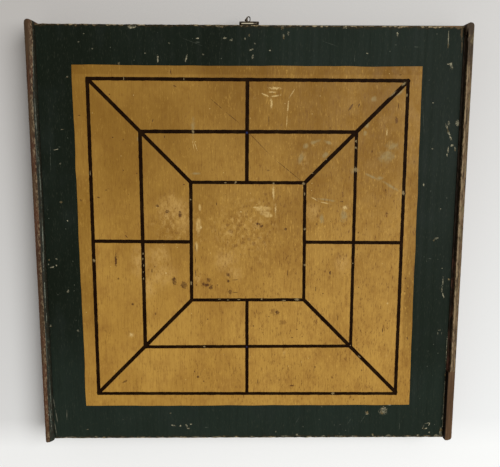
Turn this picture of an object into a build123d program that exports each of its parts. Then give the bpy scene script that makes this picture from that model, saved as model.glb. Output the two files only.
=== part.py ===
from build123d import *
import math
import os

# Nine men's morris box: two equal shallow trays, hinged along one edge like a book, with the
# mill board painted on the outside of the lid. The closed box lies flat: the mill board faces
# +Z, the hasp is on the +Y edge and the hinges are on the -Y edge. The base rests on its two
# rails at z = 0, and the origin is on the ground under the middle of the whole box.
# All sizes are in millimetres.

os.makedirs("parts", exist_ok=True)

# --- Driving dimensions ---

# Trays
inner_width = 367.6
panel_length = 377.2
panel_thickness = 4.5
panel_edge_round = 0.8
panel_side_gap = 0.4
tray_depth = 18.0
rail_lip = 5.0
rail_thickness = 7.4
rail_outer_round = 0.9
rail_inner_bevel = 1.8
wall_thickness = 9.0

# Rail ends: how far each runs past the panel, and how its end falls towards the box
left_rail_past_hinge_edge = 2.4
left_rail_past_hasp_edge = 4.8
right_rail_past_hinge_edge = 1.2
right_rail_past_hasp_edge = 3.4
rail_end_fall = 3.4
rail_end_round = 2.6

# Splinter lost from the inner arris of the lid's right rail, measured from the hinge edge
splinter_width = 2.3
splinter_start = 66.6
splinter_end = 355.6
crack_end = 373.6
crack_width = 0.9
splinter_taper = 3.0

# Mill board paint
paint_thickness = 0.15
field_width = 303.0
field_length = 309.3
field_shift_x = -2.0
field_shift_y = -0.85
mill_shift_x = -2.4
mill_shift_y = 0.1
mill_line_width = 2.8
outer_square = (277.8, 286.4)
middle_square = (190.0, 195.8)
inner_square = (101.7, 107.1)

# Rail nails
nail_head_radius = 1.4
nail_head_thickness = 0.7
nail_shank_radius = 0.65
nail_length = 22.0
panel_nails_per_rail = 3

# Hinges
hinge_from_rail = 49.8
hinge_length = 38.0
hinge_leaf_reach = 7.6
hinge_leaf_thickness = 1.0
hinge_knuckle_radius = 2.3
hinge_pin_radius = 1.0
hinge_lid_knuckle = 14.0
hinge_screw_pitch = 12.5
hinge_screws_per_leaf = 3

# Hasp and swivel staple
hasp_x = -1.0
hasp_width = 17.0
hasp_thickness = 0.8
hasp_knuckle_radius = 1.7
hasp_strap_knuckle = 8.0
hasp_pin_radius = 0.75
hasp_pin_drop = 2.4
hasp_leaf_height = 5.8
hasp_corner_round = 2.0
hasp_screw_spread = 10.6
strap_end_below_face = 0.5
staple_x = -2.5
staple_drop = 6.8
staple_reach = 7.7
staple_width = 5.4
staple_thickness = 1.6
staple_eye_width = 2.2
staple_eye_height = 3.0
staple_eye_shift = 0.3
staple_shank_radius = 0.7
staple_collar_radius = 1.6
staple_collar_thickness = 0.6
staple_plate_width = 14.0
staple_plate_height = 8.6
staple_pin_spread = 11.2
staple_pin_head_radius = 1.1
staple_pin_head_thickness = 0.45
staple_pin_shank_radius = 0.5
staple_pin_length = 6.0

# Countersunk screws
screw_head_radius = 1.8
screw_head_depth = 1.2
screw_shank_radius = 0.8
screw_length = 7.0
screw_slot_width = 0.5
screw_slot_depth = 0.4

# Men
man_radius = 11.0
man_height = 6.0
man_edge = 0.8
man_ring_radius = 7.0
man_ring_width = 1.4
man_ring_depth = 0.6
man_gap = 1.5
men_per_side = 3
men_from_wall = 5.0
men_from_rail = 5.0

# Clearances
running_clearance = 0.05
seat_clearance = 0.15
knuckle_clearance = 0.25
hinge_edge_clearance = 0.5
swing_clearance = 0.25
head_recess = 0.1

# --- Levels and edges worked out from the driving dimensions ---

wall_height = tray_depth - rail_lip - panel_thickness
parting_z = tray_depth
lid_panel_low = parting_z + wall_height
lid_face_z = lid_panel_low + panel_thickness
base_panel_top = parting_z - wall_height
base_panel_low = base_panel_top - panel_thickness

hinge_axis_out = hinge_knuckle_radius + hinge_edge_clearance
box_past_hinge_edge = hinge_axis_out + hinge_knuckle_radius
hinge_edge = -(panel_length + staple_reach - box_past_hinge_edge) / 2
hasp_edge = hinge_edge + panel_length
panel_mid_y = (hinge_edge + hasp_edge) / 2
inner_half_width = inner_width / 2
hinge_axis_y = hinge_edge - hinge_axis_out

hasp_axis_out = hasp_knuckle_radius + seat_clearance
hasp_axis_y = hasp_edge + hasp_axis_out
hasp_axis_z = parting_z - hasp_pin_drop
strap_inner = hasp_thickness + seat_clearance
strap_outer = strap_inner + hasp_thickness
strap_end_z = lid_face_z - strap_end_below_face
staple_z = lid_face_z - staple_drop

# Vertical plane on the hasp edge: local x and y are the world's X and Z, and a negative
# extrusion grows outwards, along +Y.
hasp_plane = Plane.XZ.offset(-hasp_edge)


# --- Shared small shapes ---

# Each has its head's top at the local origin and points down -Z.
with BuildPart() as rail_nail:
    Cylinder(nail_head_radius, nail_head_thickness, align=(Align.CENTER, Align.CENTER, Align.MAX))
    Cylinder(nail_shank_radius, nail_length, align=(Align.CENTER, Align.CENTER, Align.MAX))

with BuildPart() as screw_form:
    with BuildSketch(Plane.XZ):
        with BuildLine():
            Polyline(
                (0, 0),
                (screw_head_radius, 0),
                (screw_shank_radius, -screw_head_depth),
                (screw_shank_radius, -screw_length),
                (0, -screw_length),
                close=True,
            )
        make_face()
    revolve(axis=Axis.Z)

with BuildPart() as wood_screw:
    add(screw_form.part)
    with BuildSketch():
        Rectangle(3 * screw_head_radius, screw_slot_width)
    extrude(amount=-screw_slot_depth, mode=Mode.SUBTRACT)

with BuildPart() as plate_pin:
    Cylinder(
        staple_pin_head_radius,
        staple_pin_head_thickness,
        align=(Align.CENTER, Align.CENTER, Align.MAX),
    )
    Cylinder(
        staple_pin_shank_radius, staple_pin_length, align=(Align.CENTER, Align.CENTER, Align.MAX)
    )


def outward_on_hasp_edge(x, z, out):
    """Plane whose normal points out of the hasp edge, `out` beyond it."""
    return Plane(origin=(x, hasp_edge + out, z), x_dir=(1, 0, 0), z_dir=(0, 1, 0))


def nail_places(side, wall_z, panel_z):
    """Nails through one rail: one into each wall's end and the rest into the panel's edge."""
    rail_face = side * (inner_half_width + rail_thickness)
    panel_pitch = panel_length / (panel_nails_per_rail + 1)
    spots = [
        (hinge_edge + wall_thickness / 2, wall_z),
        (hasp_edge - wall_thickness / 2, wall_z),
    ]
    for count in range(1, panel_nails_per_rail + 1):
        spots.append((hinge_edge + count * panel_pitch, panel_z))
    return [
        Plane(origin=(rail_face, y, z), x_dir=(0, 1, 0), z_dir=(side, 0, 0)) for y, z in spots
    ]


lid_wall_mid_z = parting_z + wall_height / 2
lid_panel_mid_z = lid_panel_low + panel_thickness / 2
base_wall_mid_z = parting_z - wall_height / 2
base_panel_mid_z = base_panel_low + panel_thickness / 2
lid_nail_places = nail_places(-1, lid_wall_mid_z, lid_panel_mid_z)
lid_nail_places += nail_places(1, lid_wall_mid_z, lid_panel_mid_z)
base_nail_places = nail_places(-1, base_wall_mid_z, base_panel_mid_z)
base_nail_places += nail_places(1, base_wall_mid_z, base_panel_mid_z)

hinge_mid_x = inner_half_width - hinge_from_rail - hinge_length / 2
hinge_places = {"left": -hinge_mid_x, "right": hinge_mid_x}
hinge_screw_y = hinge_edge + hinge_leaf_reach / 2


def hinge_screw_places(toward):
    """Screws of one leaf of each hinge, driven away from the parting face, +1 into the lid."""
    first = -hinge_screw_pitch * (hinge_screws_per_leaf - 1) / 2
    head_z = parting_z + toward * head_recess
    return [
        Plane(
            origin=(hinge_x + first + count * hinge_screw_pitch, hinge_screw_y, head_z),
            x_dir=(1, 0, 0),
            z_dir=(0, 0, -toward),
        )
        for hinge_x in hinge_places.values()
        for count in range(hinge_screws_per_leaf)
    ]


lid_hinge_screw_places = hinge_screw_places(1)
base_hinge_screw_places = hinge_screw_places(-1)

hasp_screw_z = hasp_axis_z - hasp_knuckle_radius - knuckle_clearance - screw_head_radius
hasp_screw_places = [
    outward_on_hasp_edge(hasp_x + shift, hasp_screw_z, hasp_thickness - head_recess)
    for shift in (-hasp_screw_spread / 2, hasp_screw_spread / 2)
]
staple_pin_places = [
    outward_on_hasp_edge(hasp_x + shift, staple_z, hasp_thickness)
    for shift in (-staple_pin_spread / 2, staple_pin_spread / 2)
]


# --- Nails and screws, each kind in one group, and the holes that screws make ---


def group_of(shape, places):
    """Copies of one shape, one at each place."""
    with BuildPart() as group:
        with Locations(*places):
            add(shape)
    return group


lid_rail_nails = group_of(rail_nail.part, lid_nail_places)
base_rail_nails = group_of(rail_nail.part, base_nail_places)
lid_hinge_screws = group_of(wood_screw.part, lid_hinge_screw_places)
base_hinge_screws = group_of(wood_screw.part, base_hinge_screw_places)
hasp_screws = group_of(wood_screw.part, hasp_screw_places)
staple_pins = group_of(plate_pin.part, staple_pin_places)

lid_hinge_screw_holes = group_of(screw_form.part, lid_hinge_screw_places)
base_hinge_screw_holes = group_of(screw_form.part, base_hinge_screw_places)
hasp_screw_holes = group_of(screw_form.part, hasp_screw_places)

# Seats for the hinge leaves, let into each hinge wall from the parting face
with BuildPart() as hinge_mortises:
    with BuildSketch(Plane.XY.offset(parting_z)):
        with Locations(*[(x, hinge_edge + hinge_leaf_reach / 2) for x in hinge_places.values()]):
            Rectangle(hinge_length, hinge_leaf_reach)
    extrude(amount=hinge_leaf_thickness, both=True)

# Recess behind the staple plate for the swivel's collar
with BuildPart() as collar_recess:
    with BuildSketch(hasp_plane):
        with Locations((staple_x, staple_z)):
            Circle(staple_collar_radius + seat_clearance)
    extrude(amount=staple_collar_thickness + 2 * seat_clearance)

# The splinter's bed runs along the lid's right rail down to the panel's face, and ends in a
# narrow crack towards the hasp edge.
with BuildPart() as splinter_bed:
    with BuildSketch(Plane.XY.offset(lid_face_z)):
        with BuildLine():
            Polyline(
                (inner_half_width, hinge_edge + splinter_start),
                (inner_half_width + splinter_width, hinge_edge + splinter_start + splinter_taper),
                (inner_half_width + splinter_width, hinge_edge + splinter_end - splinter_taper),
                (inner_half_width + crack_width, hinge_edge + splinter_end),
                (inner_half_width, hinge_edge + crack_end),
                close=True,
            )
        make_face()
    extrude(amount=rail_lip)

# --- Wooden pieces of both trays ---
# Each grows from the parting face, `toward` +1 into the lid or -1 into the base, and `cuts` are
# the fasteners and seats that it holds.


def tray_panel(toward, cuts):
    """Flat board that covers the walls; the arrises of its outer face are a little rounded."""
    with BuildPart() as panel:
        with BuildSketch(Plane.XY.offset(parting_z + toward * wall_height)):
            with Locations((0, panel_mid_y)):
                Rectangle(inner_width - 2 * panel_side_gap, panel_length)
        extrude(amount=toward * panel_thickness)
        outer_arrises = panel.edges().filter_by(Axis.X).group_by(Axis.Z)[::toward][-1]
        fillet(outer_arrises, panel_edge_round)
        add(cuts, mode=Mode.SUBTRACT)
    return panel


def tray_wall(mid_y, toward, cuts):
    """Plain wall under the panel, from rail to rail."""
    with BuildPart() as wall:
        with BuildSketch(Plane.XY.offset(parting_z)):
            with Locations((0, mid_y)):
                Rectangle(inner_width, wall_thickness)
        extrude(amount=toward * wall_height)
        add(cuts, mode=Mode.SUBTRACT)
    return wall


def tray_rail(side, toward, past_hinge_edge, past_hasp_edge, cuts):
    """Rail that closes the tray's side and guards the panel, on the left (-1) or right (+1)."""
    inner_x = side * inner_half_width
    outer_x = side * (inner_half_width + rail_thickness)
    edge_z = parting_z + toward * tray_depth
    low_y = hinge_edge - past_hinge_edge
    high_y = hasp_edge + past_hasp_edge
    with BuildPart() as rail:
        with BuildSketch(Plane.XZ.offset(-low_y)) as section:
            with BuildLine():
                Polyline(
                    (inner_x, parting_z),
                    (outer_x, parting_z),
                    (outer_x, edge_z),
                    (inner_x + side * rail_inner_bevel, edge_z),
                    (inner_x, edge_z - toward * rail_inner_bevel),
                    close=True,
                )
            make_face()
            outer_arris = section.vertices().group_by(Axis.Z)[::toward][-1]
            fillet(outer_arris.sort_by(Axis.X)[::side][-1], rail_outer_round)
        extrude(amount=low_y - high_y)
        with BuildSketch(Plane.XY.offset(parting_z)) as plan:
            with BuildLine():
                Polyline(
                    (inner_x, low_y),
                    (outer_x, low_y),
                    (outer_x, high_y),
                    (inner_x, high_y - rail_end_fall),
                    close=True,
                )
            make_face()
            fillet(plan.vertices().group_by(Axis.X)[::side][-1], rail_end_round)
        extrude(amount=toward * tray_depth, mode=Mode.INTERSECT)
        add(cuts, mode=Mode.SUBTRACT)
    return rail


lid_nails = lid_rail_nails.part
base_nails = base_rail_nails.part
hasp_wall_y = hasp_edge - wall_thickness / 2
hinge_wall_y = hinge_edge + wall_thickness / 2
left_ends = (left_rail_past_hinge_edge, left_rail_past_hasp_edge)
right_ends = (right_rail_past_hinge_edge, right_rail_past_hasp_edge)

mill_panel = tray_panel(1, [lid_nails])
lid_left_rail = tray_rail(-1, 1, *left_ends, [lid_nails])
lid_right_rail = tray_rail(1, 1, *right_ends, [lid_nails, splinter_bed.part])
lid_hasp_wall = tray_wall(hasp_wall_y, 1, [lid_nails, staple_pins.part, collar_recess.part])
lid_hinge_wall = tray_wall(
    hinge_wall_y, 1, [lid_nails, hinge_mortises.part, lid_hinge_screw_holes.part]
)

back_panel = tray_panel(-1, [base_nails])
base_left_rail = tray_rail(-1, -1, *left_ends, [base_nails])
base_right_rail = tray_rail(1, -1, *right_ends, [base_nails])
base_hasp_wall = tray_wall(hasp_wall_y, -1, [base_nails, hasp_screw_holes.part])
base_hinge_wall = tray_wall(
    hinge_wall_y, -1, [base_nails, hinge_mortises.part, base_hinge_screw_holes.part]
)

# --- Paint of the mill board ---

with BuildPart() as field_paint:
    with BuildSketch(Plane.XY.offset(lid_face_z)):
        with Locations((field_shift_x, panel_mid_y + field_shift_y)):
            Rectangle(field_width, field_length)
    extrude(amount=paint_thickness)

mill_x = mill_shift_x
mill_y = panel_mid_y + mill_shift_y
with BuildPart() as mill_lines:
    with BuildSketch(Plane.XY.offset(lid_face_z + paint_thickness)):
        for width, length in (outer_square, middle_square, inner_square):
            with Locations((mill_x, mill_y)):
                Rectangle(width + mill_line_width, length + mill_line_width)
                Rectangle(
                    width - mill_line_width, length - mill_line_width, mode=Mode.SUBTRACT
                )
        cross_run = (outer_square[0] - inner_square[0]) / 2
        cross_drop = (outer_square[1] - inner_square[1]) / 2
        for side in (-1, 1):
            with Locations((mill_x + side * (inner_square[0] + cross_run) / 2, mill_y)):
                Rectangle(cross_run, mill_line_width)
            with Locations((mill_x, mill_y + side * (inner_square[1] + cross_drop) / 2)):
                Rectangle(mill_line_width, cross_drop)
        with BuildLine():
            for side_x in (-1, 1):
                for side_y in (-1, 1):
                    Line(
                        (
                            mill_x + side_x * inner_square[0] / 2,
                            mill_y + side_y * inner_square[1] / 2,
                        ),
                        (
                            mill_x + side_x * outer_square[0] / 2,
                            mill_y + side_y * outer_square[1] / 2,
                        ),
                    )
        trace(line_width=mill_line_width)
    extrude(amount=paint_thickness)

# --- Butt hinges: the base leaf has the two end knuckles, the lid leaf the middle one ---

end_knuckle = (hinge_length - hinge_lid_knuckle) / 2 - knuckle_clearance
end_knuckle_mid = (hinge_length - end_knuckle) / 2


def hinge_leaf(hinge_x, toward, knuckles, gaps, bore_radius, screw_holes):
    """One leaf: a plate in its mortise, knuckles (middle, length) and gaps for the other's."""
    knuckle_reach = hinge_axis_y + hinge_knuckle_radius + knuckle_clearance
    with BuildPart() as leaf:
        with BuildSketch(Plane.XY.offset(parting_z)):
            with Locations((hinge_x, hinge_edge + hinge_leaf_reach)):
                Rectangle(
                    hinge_length,
                    hinge_leaf_reach + hinge_axis_out,
                    align=(Align.CENTER, Align.MAX),
                )
            for middle, length in gaps:
                with Locations((hinge_x + middle, knuckle_reach)):
                    Rectangle(
                        length,
                        2 * hinge_knuckle_radius + knuckle_clearance,
                        align=(Align.CENTER, Align.MAX),
                        mode=Mode.SUBTRACT,
                    )
        extrude(amount=toward * hinge_leaf_thickness)
        for middle, length in knuckles:
            with BuildSketch(Plane.YZ.offset(hinge_x + middle - length / 2)):
                with Locations((hinge_axis_y, parting_z)):
                    Circle(hinge_knuckle_radius)
            extrude(amount=length)
        with BuildSketch(Plane.YZ.offset(hinge_x - hinge_length / 2)):
            with Locations((hinge_axis_y, parting_z)):
                Circle(bore_radius)
        extrude(amount=hinge_length, mode=Mode.SUBTRACT)
        add(screw_holes, mode=Mode.SUBTRACT)
    return leaf


end_knuckles = [(-end_knuckle_mid, end_knuckle), (end_knuckle_mid, end_knuckle)]
middle_knuckle = [(0, hinge_lid_knuckle)]
middle_gap = [(0, hinge_lid_knuckle + 2 * knuckle_clearance)]
end_gaps = [
    (side * (hinge_length + hinge_lid_knuckle) / 4, (hinge_length - hinge_lid_knuckle) / 2)
    for side in (-1, 1)
]

hinge_parts = {}
for place, hinge_x in hinge_places.items():
    hinge_parts[f"{place}_hinge_base_leaf"] = hinge_leaf(
        hinge_x, -1, end_knuckles, middle_gap, hinge_pin_radius, base_hinge_screw_holes.part
    )
    hinge_parts[f"{place}_hinge_lid_leaf"] = hinge_leaf(
        hinge_x,
        1,
        middle_knuckle,
        end_gaps,
        hinge_pin_radius + running_clearance,
        lid_hinge_screw_holes.part,
    )
    with BuildPart() as hinge_pin:
        with BuildSketch(Plane.YZ.offset(hinge_x - hinge_length / 2)):
            with Locations((hinge_axis_y, parting_z)):
                Circle(hinge_pin_radius)
        extrude(amount=hinge_length)
    hinge_parts[f"{place}_hinge_pin"] = hinge_pin

# --- Hasp ---

hasp_left = hasp_x - hasp_width / 2
strap_knuckle_left = hasp_x - hasp_strap_knuckle / 2
leaf_knuckle = (hasp_width - hasp_strap_knuckle) / 2 - knuckle_clearance
leaf_knuckle_starts = (hasp_left, hasp_left + hasp_width - leaf_knuckle)
knuckle_swing = hasp_knuckle_radius + knuckle_clearance

# The leaf is screwed to the base under its knuckles.
with BuildPart() as hasp_leaf:
    with BuildSketch(hasp_plane) as leaf_outline:
        with Locations((hasp_x, hasp_axis_z)):
            Rectangle(hasp_width, hasp_leaf_height, align=(Align.CENTER, Align.MAX))
        fillet(leaf_outline.vertices().group_by(Axis.Z)[0], hasp_corner_round)
        with Locations((hasp_x, hasp_axis_z)):
            Rectangle(
                hasp_strap_knuckle + 2 * knuckle_clearance,
                knuckle_swing,
                align=(Align.CENTER, Align.MAX),
                mode=Mode.SUBTRACT,
            )
    extrude(amount=-hasp_thickness)
    for start in leaf_knuckle_starts:
        with BuildSketch(Plane.YZ.offset(start)):
            with Locations((hasp_axis_y, hasp_axis_z)):
                Circle(hasp_knuckle_radius)
        extrude(amount=leaf_knuckle)
    with BuildSketch(Plane.YZ.offset(hasp_left)):
        with Locations((hasp_axis_y, hasp_axis_z)):
            Circle(hasp_pin_radius)
    extrude(amount=hasp_width, mode=Mode.SUBTRACT)
    add(hasp_screw_holes.part, mode=Mode.SUBTRACT)

# The slot clears the staple's eye along the whole swing of the strap, measured from the pin.
staple_above_pin = staple_z - hasp_axis_z
slot_near = staple_above_pin - staple_thickness / 2 - swing_clearance
staple_corner = math.hypot(
    staple_above_pin + staple_thickness / 2, staple_reach - hasp_axis_out
)
slot_far = staple_corner + swing_clearance

with BuildPart() as hasp_strap:
    with BuildSketch(hasp_plane.offset(-strap_inner)) as strap_outline:
        with Locations((hasp_x, strap_end_z)):
            Rectangle(
                hasp_width,
                strap_end_z - hasp_axis_z - knuckle_swing,
                align=(Align.CENTER, Align.MAX),
            )
        fillet(strap_outline.vertices(), hasp_corner_round)
        with Locations((hasp_x, hasp_axis_z)):
            Rectangle(
                hasp_strap_knuckle,
                strap_end_z - hasp_axis_z - hasp_corner_round,
                align=(Align.CENTER, Align.MIN),
            )
        with Locations((staple_x, hasp_axis_z + (slot_near + slot_far) / 2)):
            Rectangle(
                staple_width + 2 * swing_clearance, slot_far - slot_near, mode=Mode.SUBTRACT
            )
    extrude(amount=-hasp_thickness)
    with BuildSketch(Plane.YZ.offset(strap_knuckle_left)):
        with Locations((hasp_axis_y, hasp_axis_z)):
            Circle(hasp_knuckle_radius)
    extrude(amount=hasp_strap_knuckle)
    with BuildSketch(Plane.YZ.offset(strap_knuckle_left)):
        with Locations((hasp_axis_y, hasp_axis_z)):
            Circle(hasp_pin_radius + running_clearance)
    extrude(amount=hasp_strap_knuckle, mode=Mode.SUBTRACT)

with BuildPart() as hasp_pin:
    with BuildSketch(Plane.YZ.offset(hasp_left)):
        with Locations((hasp_axis_y, hasp_axis_z)):
            Circle(hasp_pin_radius)
    extrude(amount=hasp_width)

# --- Swivel staple ---

with BuildPart() as staple_plate:
    with BuildSketch(hasp_plane):
        with Locations((hasp_x, staple_z)):
            RectangleRounded(staple_plate_width, staple_plate_height, hasp_corner_round)
        with Locations((staple_x, staple_z)):
            Circle(staple_shank_radius + running_clearance, mode=Mode.SUBTRACT)
    extrude(amount=-hasp_thickness)
    add(staple_pins.part, mode=Mode.SUBTRACT)

# The shank turns in the plate between a collar behind it and the flat oval eye in front.
eye_near = strap_outer + swing_clearance
eye_height = staple_reach - eye_near
eye_mid_y = hasp_edge + eye_near + eye_height / 2
collar_gap = running_clearance
with BuildPart() as swivel_staple:
    with BuildSketch(hasp_plane.offset(collar_gap)):
        with Locations((staple_x, staple_z)):
            Circle(staple_collar_radius)
    extrude(amount=staple_collar_thickness)
    with BuildSketch(hasp_plane.offset(collar_gap)):
        with Locations((staple_x, staple_z)):
            Circle(staple_shank_radius)
    extrude(amount=-(eye_near + collar_gap + staple_thickness / 2))
    with BuildSketch(Plane.XY.offset(staple_z - staple_thickness / 2)):
        with Locations((staple_x, eye_mid_y)):
            Ellipse(staple_width / 2, eye_height / 2)
        with Locations((staple_x + staple_eye_shift, eye_mid_y)):
            Ellipse(staple_eye_width / 2, staple_eye_height / 2, mode=Mode.SUBTRACT)
    extrude(amount=staple_thickness)

# --- Men: nine light and nine dark, in two squares of three by three in the base ---

with BuildPart() as man:
    with BuildSketch():
        Circle(man_radius)
    extrude(amount=man_height)
    chamfer(man.edges().filter_by(GeomType.CIRCLE), man_edge)
    with BuildSketch(Plane.XY.offset(man_height)):
        Circle(man_ring_radius)
        Circle(man_ring_radius - man_ring_width, mode=Mode.SUBTRACT)
    extrude(amount=-man_ring_depth, mode=Mode.SUBTRACT)

man_pitch = 2 * man_radius + man_gap
men_block = (men_per_side - 1) * man_pitch
men_x = inner_half_width - men_from_rail - man_radius - men_block / 2
men_y = hinge_edge + wall_thickness + men_from_wall + man_radius + men_block / 2


def men_group(centre_x):
    with BuildPart() as men:
        with Locations((centre_x, men_y, base_panel_top)):
            with GridLocations(man_pitch, man_pitch, men_per_side, men_per_side):
                add(man.part)
    return men


light_men = men_group(-men_x)
dark_men = men_group(men_x)

# --- Labels and files ---

nodes = {
    "mill_panel": mill_panel,
    "field_paint": field_paint,
    "mill_lines": mill_lines,
    "lid_left_rail": lid_left_rail,
    "lid_right_rail": lid_right_rail,
    "lid_hasp_wall": lid_hasp_wall,
    "lid_hinge_wall": lid_hinge_wall,
    "lid_rail_nails": lid_rail_nails,
    "lid_hinge_screws": lid_hinge_screws,
    "staple_plate": staple_plate,
    "staple_pins": staple_pins,
    "swivel_staple": swivel_staple,
    "back_panel": back_panel,
    "base_left_rail": base_left_rail,
    "base_right_rail": base_right_rail,
    "base_hasp_wall": base_hasp_wall,
    "base_hinge_wall": base_hinge_wall,
    "base_rail_nails": base_rail_nails,
    "base_hinge_screws": base_hinge_screws,
    "hasp_leaf": hasp_leaf,
    "hasp_screws": hasp_screws,
    "hasp_pin": hasp_pin,
    "hasp_strap": hasp_strap,
    "light_men": light_men,
    "dark_men": dark_men,
    **hinge_parts,
}

for name, node in nodes.items():
    node.part.label = name
    export_step(node.part, f"parts/{name}.step")
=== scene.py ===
import math

import bmesh
import bpy
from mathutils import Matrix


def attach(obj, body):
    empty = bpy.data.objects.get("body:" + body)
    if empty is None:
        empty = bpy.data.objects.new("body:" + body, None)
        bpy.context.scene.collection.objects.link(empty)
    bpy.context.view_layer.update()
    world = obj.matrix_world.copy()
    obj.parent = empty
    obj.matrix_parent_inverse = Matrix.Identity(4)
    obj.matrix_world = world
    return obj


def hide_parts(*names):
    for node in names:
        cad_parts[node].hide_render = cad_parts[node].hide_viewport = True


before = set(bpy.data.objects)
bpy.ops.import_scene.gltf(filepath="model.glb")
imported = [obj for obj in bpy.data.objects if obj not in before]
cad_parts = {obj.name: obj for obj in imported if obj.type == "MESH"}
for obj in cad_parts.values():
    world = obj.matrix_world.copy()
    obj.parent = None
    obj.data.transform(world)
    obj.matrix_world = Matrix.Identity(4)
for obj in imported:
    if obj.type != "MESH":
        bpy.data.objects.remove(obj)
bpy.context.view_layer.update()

# The closed box lies flat on a pale table with the mill board up, and is looked down on from
# above, a little from the hasp's side. Daylight comes in from the upper right, and the room
# fills the shadows softly.
mm = 0.001


def daylight(red, green, blue):
    """A colour given on the usual 0 to 255 scale, as the light value that nodes take."""
    value = [tone / 255 for tone in (red, green, blue)]
    value = [v / 12.92 if v <= 0.04045 else ((v + 0.055) / 1.055) ** 2.4 for v in value]
    return (*value, 1.0)


bpy.ops.object.camera_add(
    location=(-0.00549, 0.08788, 0.56384),
    rotation=(math.radians(-8.698), math.radians(-0.579), math.radians(0.104)),
)
viewer = bpy.context.object
viewer.name = "viewer"
viewer.data.sensor_fit = "HORIZONTAL"
viewer.data.sensor_width = 36.0
viewer.data.lens = 43.2
viewer.data.clip_start = 0.01
bpy.context.scene.camera = viewer

bpy.ops.mesh.primitive_plane_add(size=8.0, location=(0, 0, -0.0002))
table = bpy.context.object
table.name = "pale_table"
table_top = bpy.data.materials.new("pale table")
table_top.use_nodes = True
table_nodes = table_top.node_tree.nodes
# Painted light: the table's colour is painted darker toward the upper left and lighter toward the
# lower right, standing in for the room's light falling off.
fade = table_nodes.new("ShaderNodeVectorMath")
fade.operation = "DOT_PRODUCT"
fade.inputs[1].default_value = (0.5, -1.0, 0)
spread = table_nodes.new("ShaderNodeMapRange")
spread.inputs["From Min"].default_value = -0.34
spread.inputs["From Max"].default_value = 0.38
painted_light_tint = table_nodes.new("ShaderNodeMix")
painted_light_tint.data_type = "RGBA"
painted_light_tint.inputs[6].default_value = daylight(187, 183, 179)
painted_light_tint.inputs[7].default_value = daylight(246, 247, 247)

# The strip nearest the viewer is painted brighter still, as a painted pool of light, and fades out
# to the left and right.
across = table_nodes.new("ShaderNodeSeparateXYZ")
front_edge = table_nodes.new("ShaderNodeMapRange")
front_edge.inputs["From Min"].default_value = -0.185
front_edge.inputs["From Max"].default_value = -0.215
from_front = table_nodes.new("ShaderNodeVectorMath")
from_front.operation = "DISTANCE"
from_front.inputs[1].default_value = (0, -0.24, 0)
near_front = table_nodes.new("ShaderNodeMapRange")
near_front.interpolation_type = "SMOOTHSTEP"
near_front.inputs["From Min"].default_value = 0.26
near_front.inputs["From Max"].default_value = 0.8
near_front.inputs["To Min"].default_value = 0.8
near_front.inputs["To Max"].default_value = 0.0
front_painted_light = table_nodes.new("ShaderNodeMix")
front_painted_light.data_type = "RGBA"
front_painted_light.inputs[7].default_value = daylight(252, 252, 251)
table_place = table_nodes.new("ShaderNodeTexCoord").outputs["Object"]
table_shader = table_nodes["Principled BSDF"]
table_shader.inputs["Roughness"].default_value = 0.85
for result, socket in (
    (table_place, fade.inputs[0]),
    (fade.outputs["Value"], spread.inputs["Value"]),
    (spread.outputs["Result"], painted_light_tint.inputs["Factor"]),
    (table_place, across.inputs[0]),
    (across.outputs["Y"], front_edge.inputs["Value"]),
    (table_place, from_front.inputs[0]),
    (from_front.outputs["Value"], near_front.inputs["Value"]),
    (near_front.outputs["Result"], front_edge.inputs["To Max"]),
    (front_edge.outputs["Result"], front_painted_light.inputs["Factor"]),
    (painted_light_tint.outputs[2], front_painted_light.inputs[6]),
    (front_painted_light.outputs[2], table_shader.inputs["Base Color"]),
):
    table_top.node_tree.links.new(result, socket)
table.data.materials.append(table_top)

bpy.ops.object.light_add(type="AREA", location=(2.2, 0.75, 3.8))
window = bpy.context.object
window.name = "window"
window.data.shape = "SQUARE"
window.data.size = 2.8
window.data.energy = 168.0
window.data.color = (0.97, 0.99, 1.0)
window.rotation_euler = window.location.to_track_quat("Z", "Y").to_euler()

room = bpy.data.worlds.new("room")
bpy.context.scene.world = room
room.use_nodes = True
room.node_tree.nodes["Background"].inputs["Color"].default_value = (1.0, 0.965, 0.92, 1.0)
room.node_tree.nodes["Background"].inputs["Strength"].default_value = 0.36
bpy.context.scene.view_settings.view_transform = "Standard"


# Back panel: the base tray's plain pine board. It is painted dark green outside and left bare
# inside, and it is glued and nailed between the rails.
def block(name, low, high):
    """A block cut to size between two corners in millimetres, with its place in its mesh."""
    bpy.ops.mesh.primitive_cube_add(
        size=1,
        location=[(a + b) / 2 * mm for a, b in zip(low, high)],
        scale=[(b - a) * mm for a, b in zip(low, high)],
    )
    piece = bpy.context.object
    piece.name = name
    piece.data.name = name
    bpy.ops.object.transform_apply(location=True, rotation=True, scale=True)
    return piece


def pick(*pieces):
    """Selects these pieces only and makes the first one active."""
    bpy.ops.object.select_all(action="DESELECT")
    for piece in pieces:
        piece.select_set(True)
    bpy.context.view_layer.objects.active = pieces[0]


def choose(piece, kind, rule):
    """In edit mode, picks the points, edges or faces whose middle, in millimetres, suits rule."""
    bpy.ops.mesh.select_mode(type={"verts": "VERT", "edges": "EDGE", "faces": "FACE"}[kind])
    bpy.ops.mesh.select_all(action="DESELECT")
    form = bmesh.from_edit_mesh(piece.data)
    for part in getattr(form, kind):
        if kind == "verts":
            part.select_set(rule(part.co / mm))
        elif kind == "edges":
            start, end = part.verts
            part.select_set(rule((start.co + end.co) / 2 / mm, (end.co - start.co) / mm))
        else:
            part.select_set(rule(part.calc_center_median() / mm, part.normal))
    form.select_flush_mode()
    bmesh.update_edit_mesh(piece.data)


def runs_along(axis):
    """A rule for edges that run along one axis."""
    return lambda middle, run: abs(run[axis]) > 0.9 * run.length


def edit(on=True):
    """Goes into edit mode on the active piece, or out of it again."""
    bpy.ops.object.mode_set(mode="EDIT" if on else "OBJECT")


def settle():
    """Bakes the chosen pieces' place, turn and scale into their meshes."""
    bpy.ops.object.transform_apply(location=True, rotation=True, scale=True)


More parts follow.
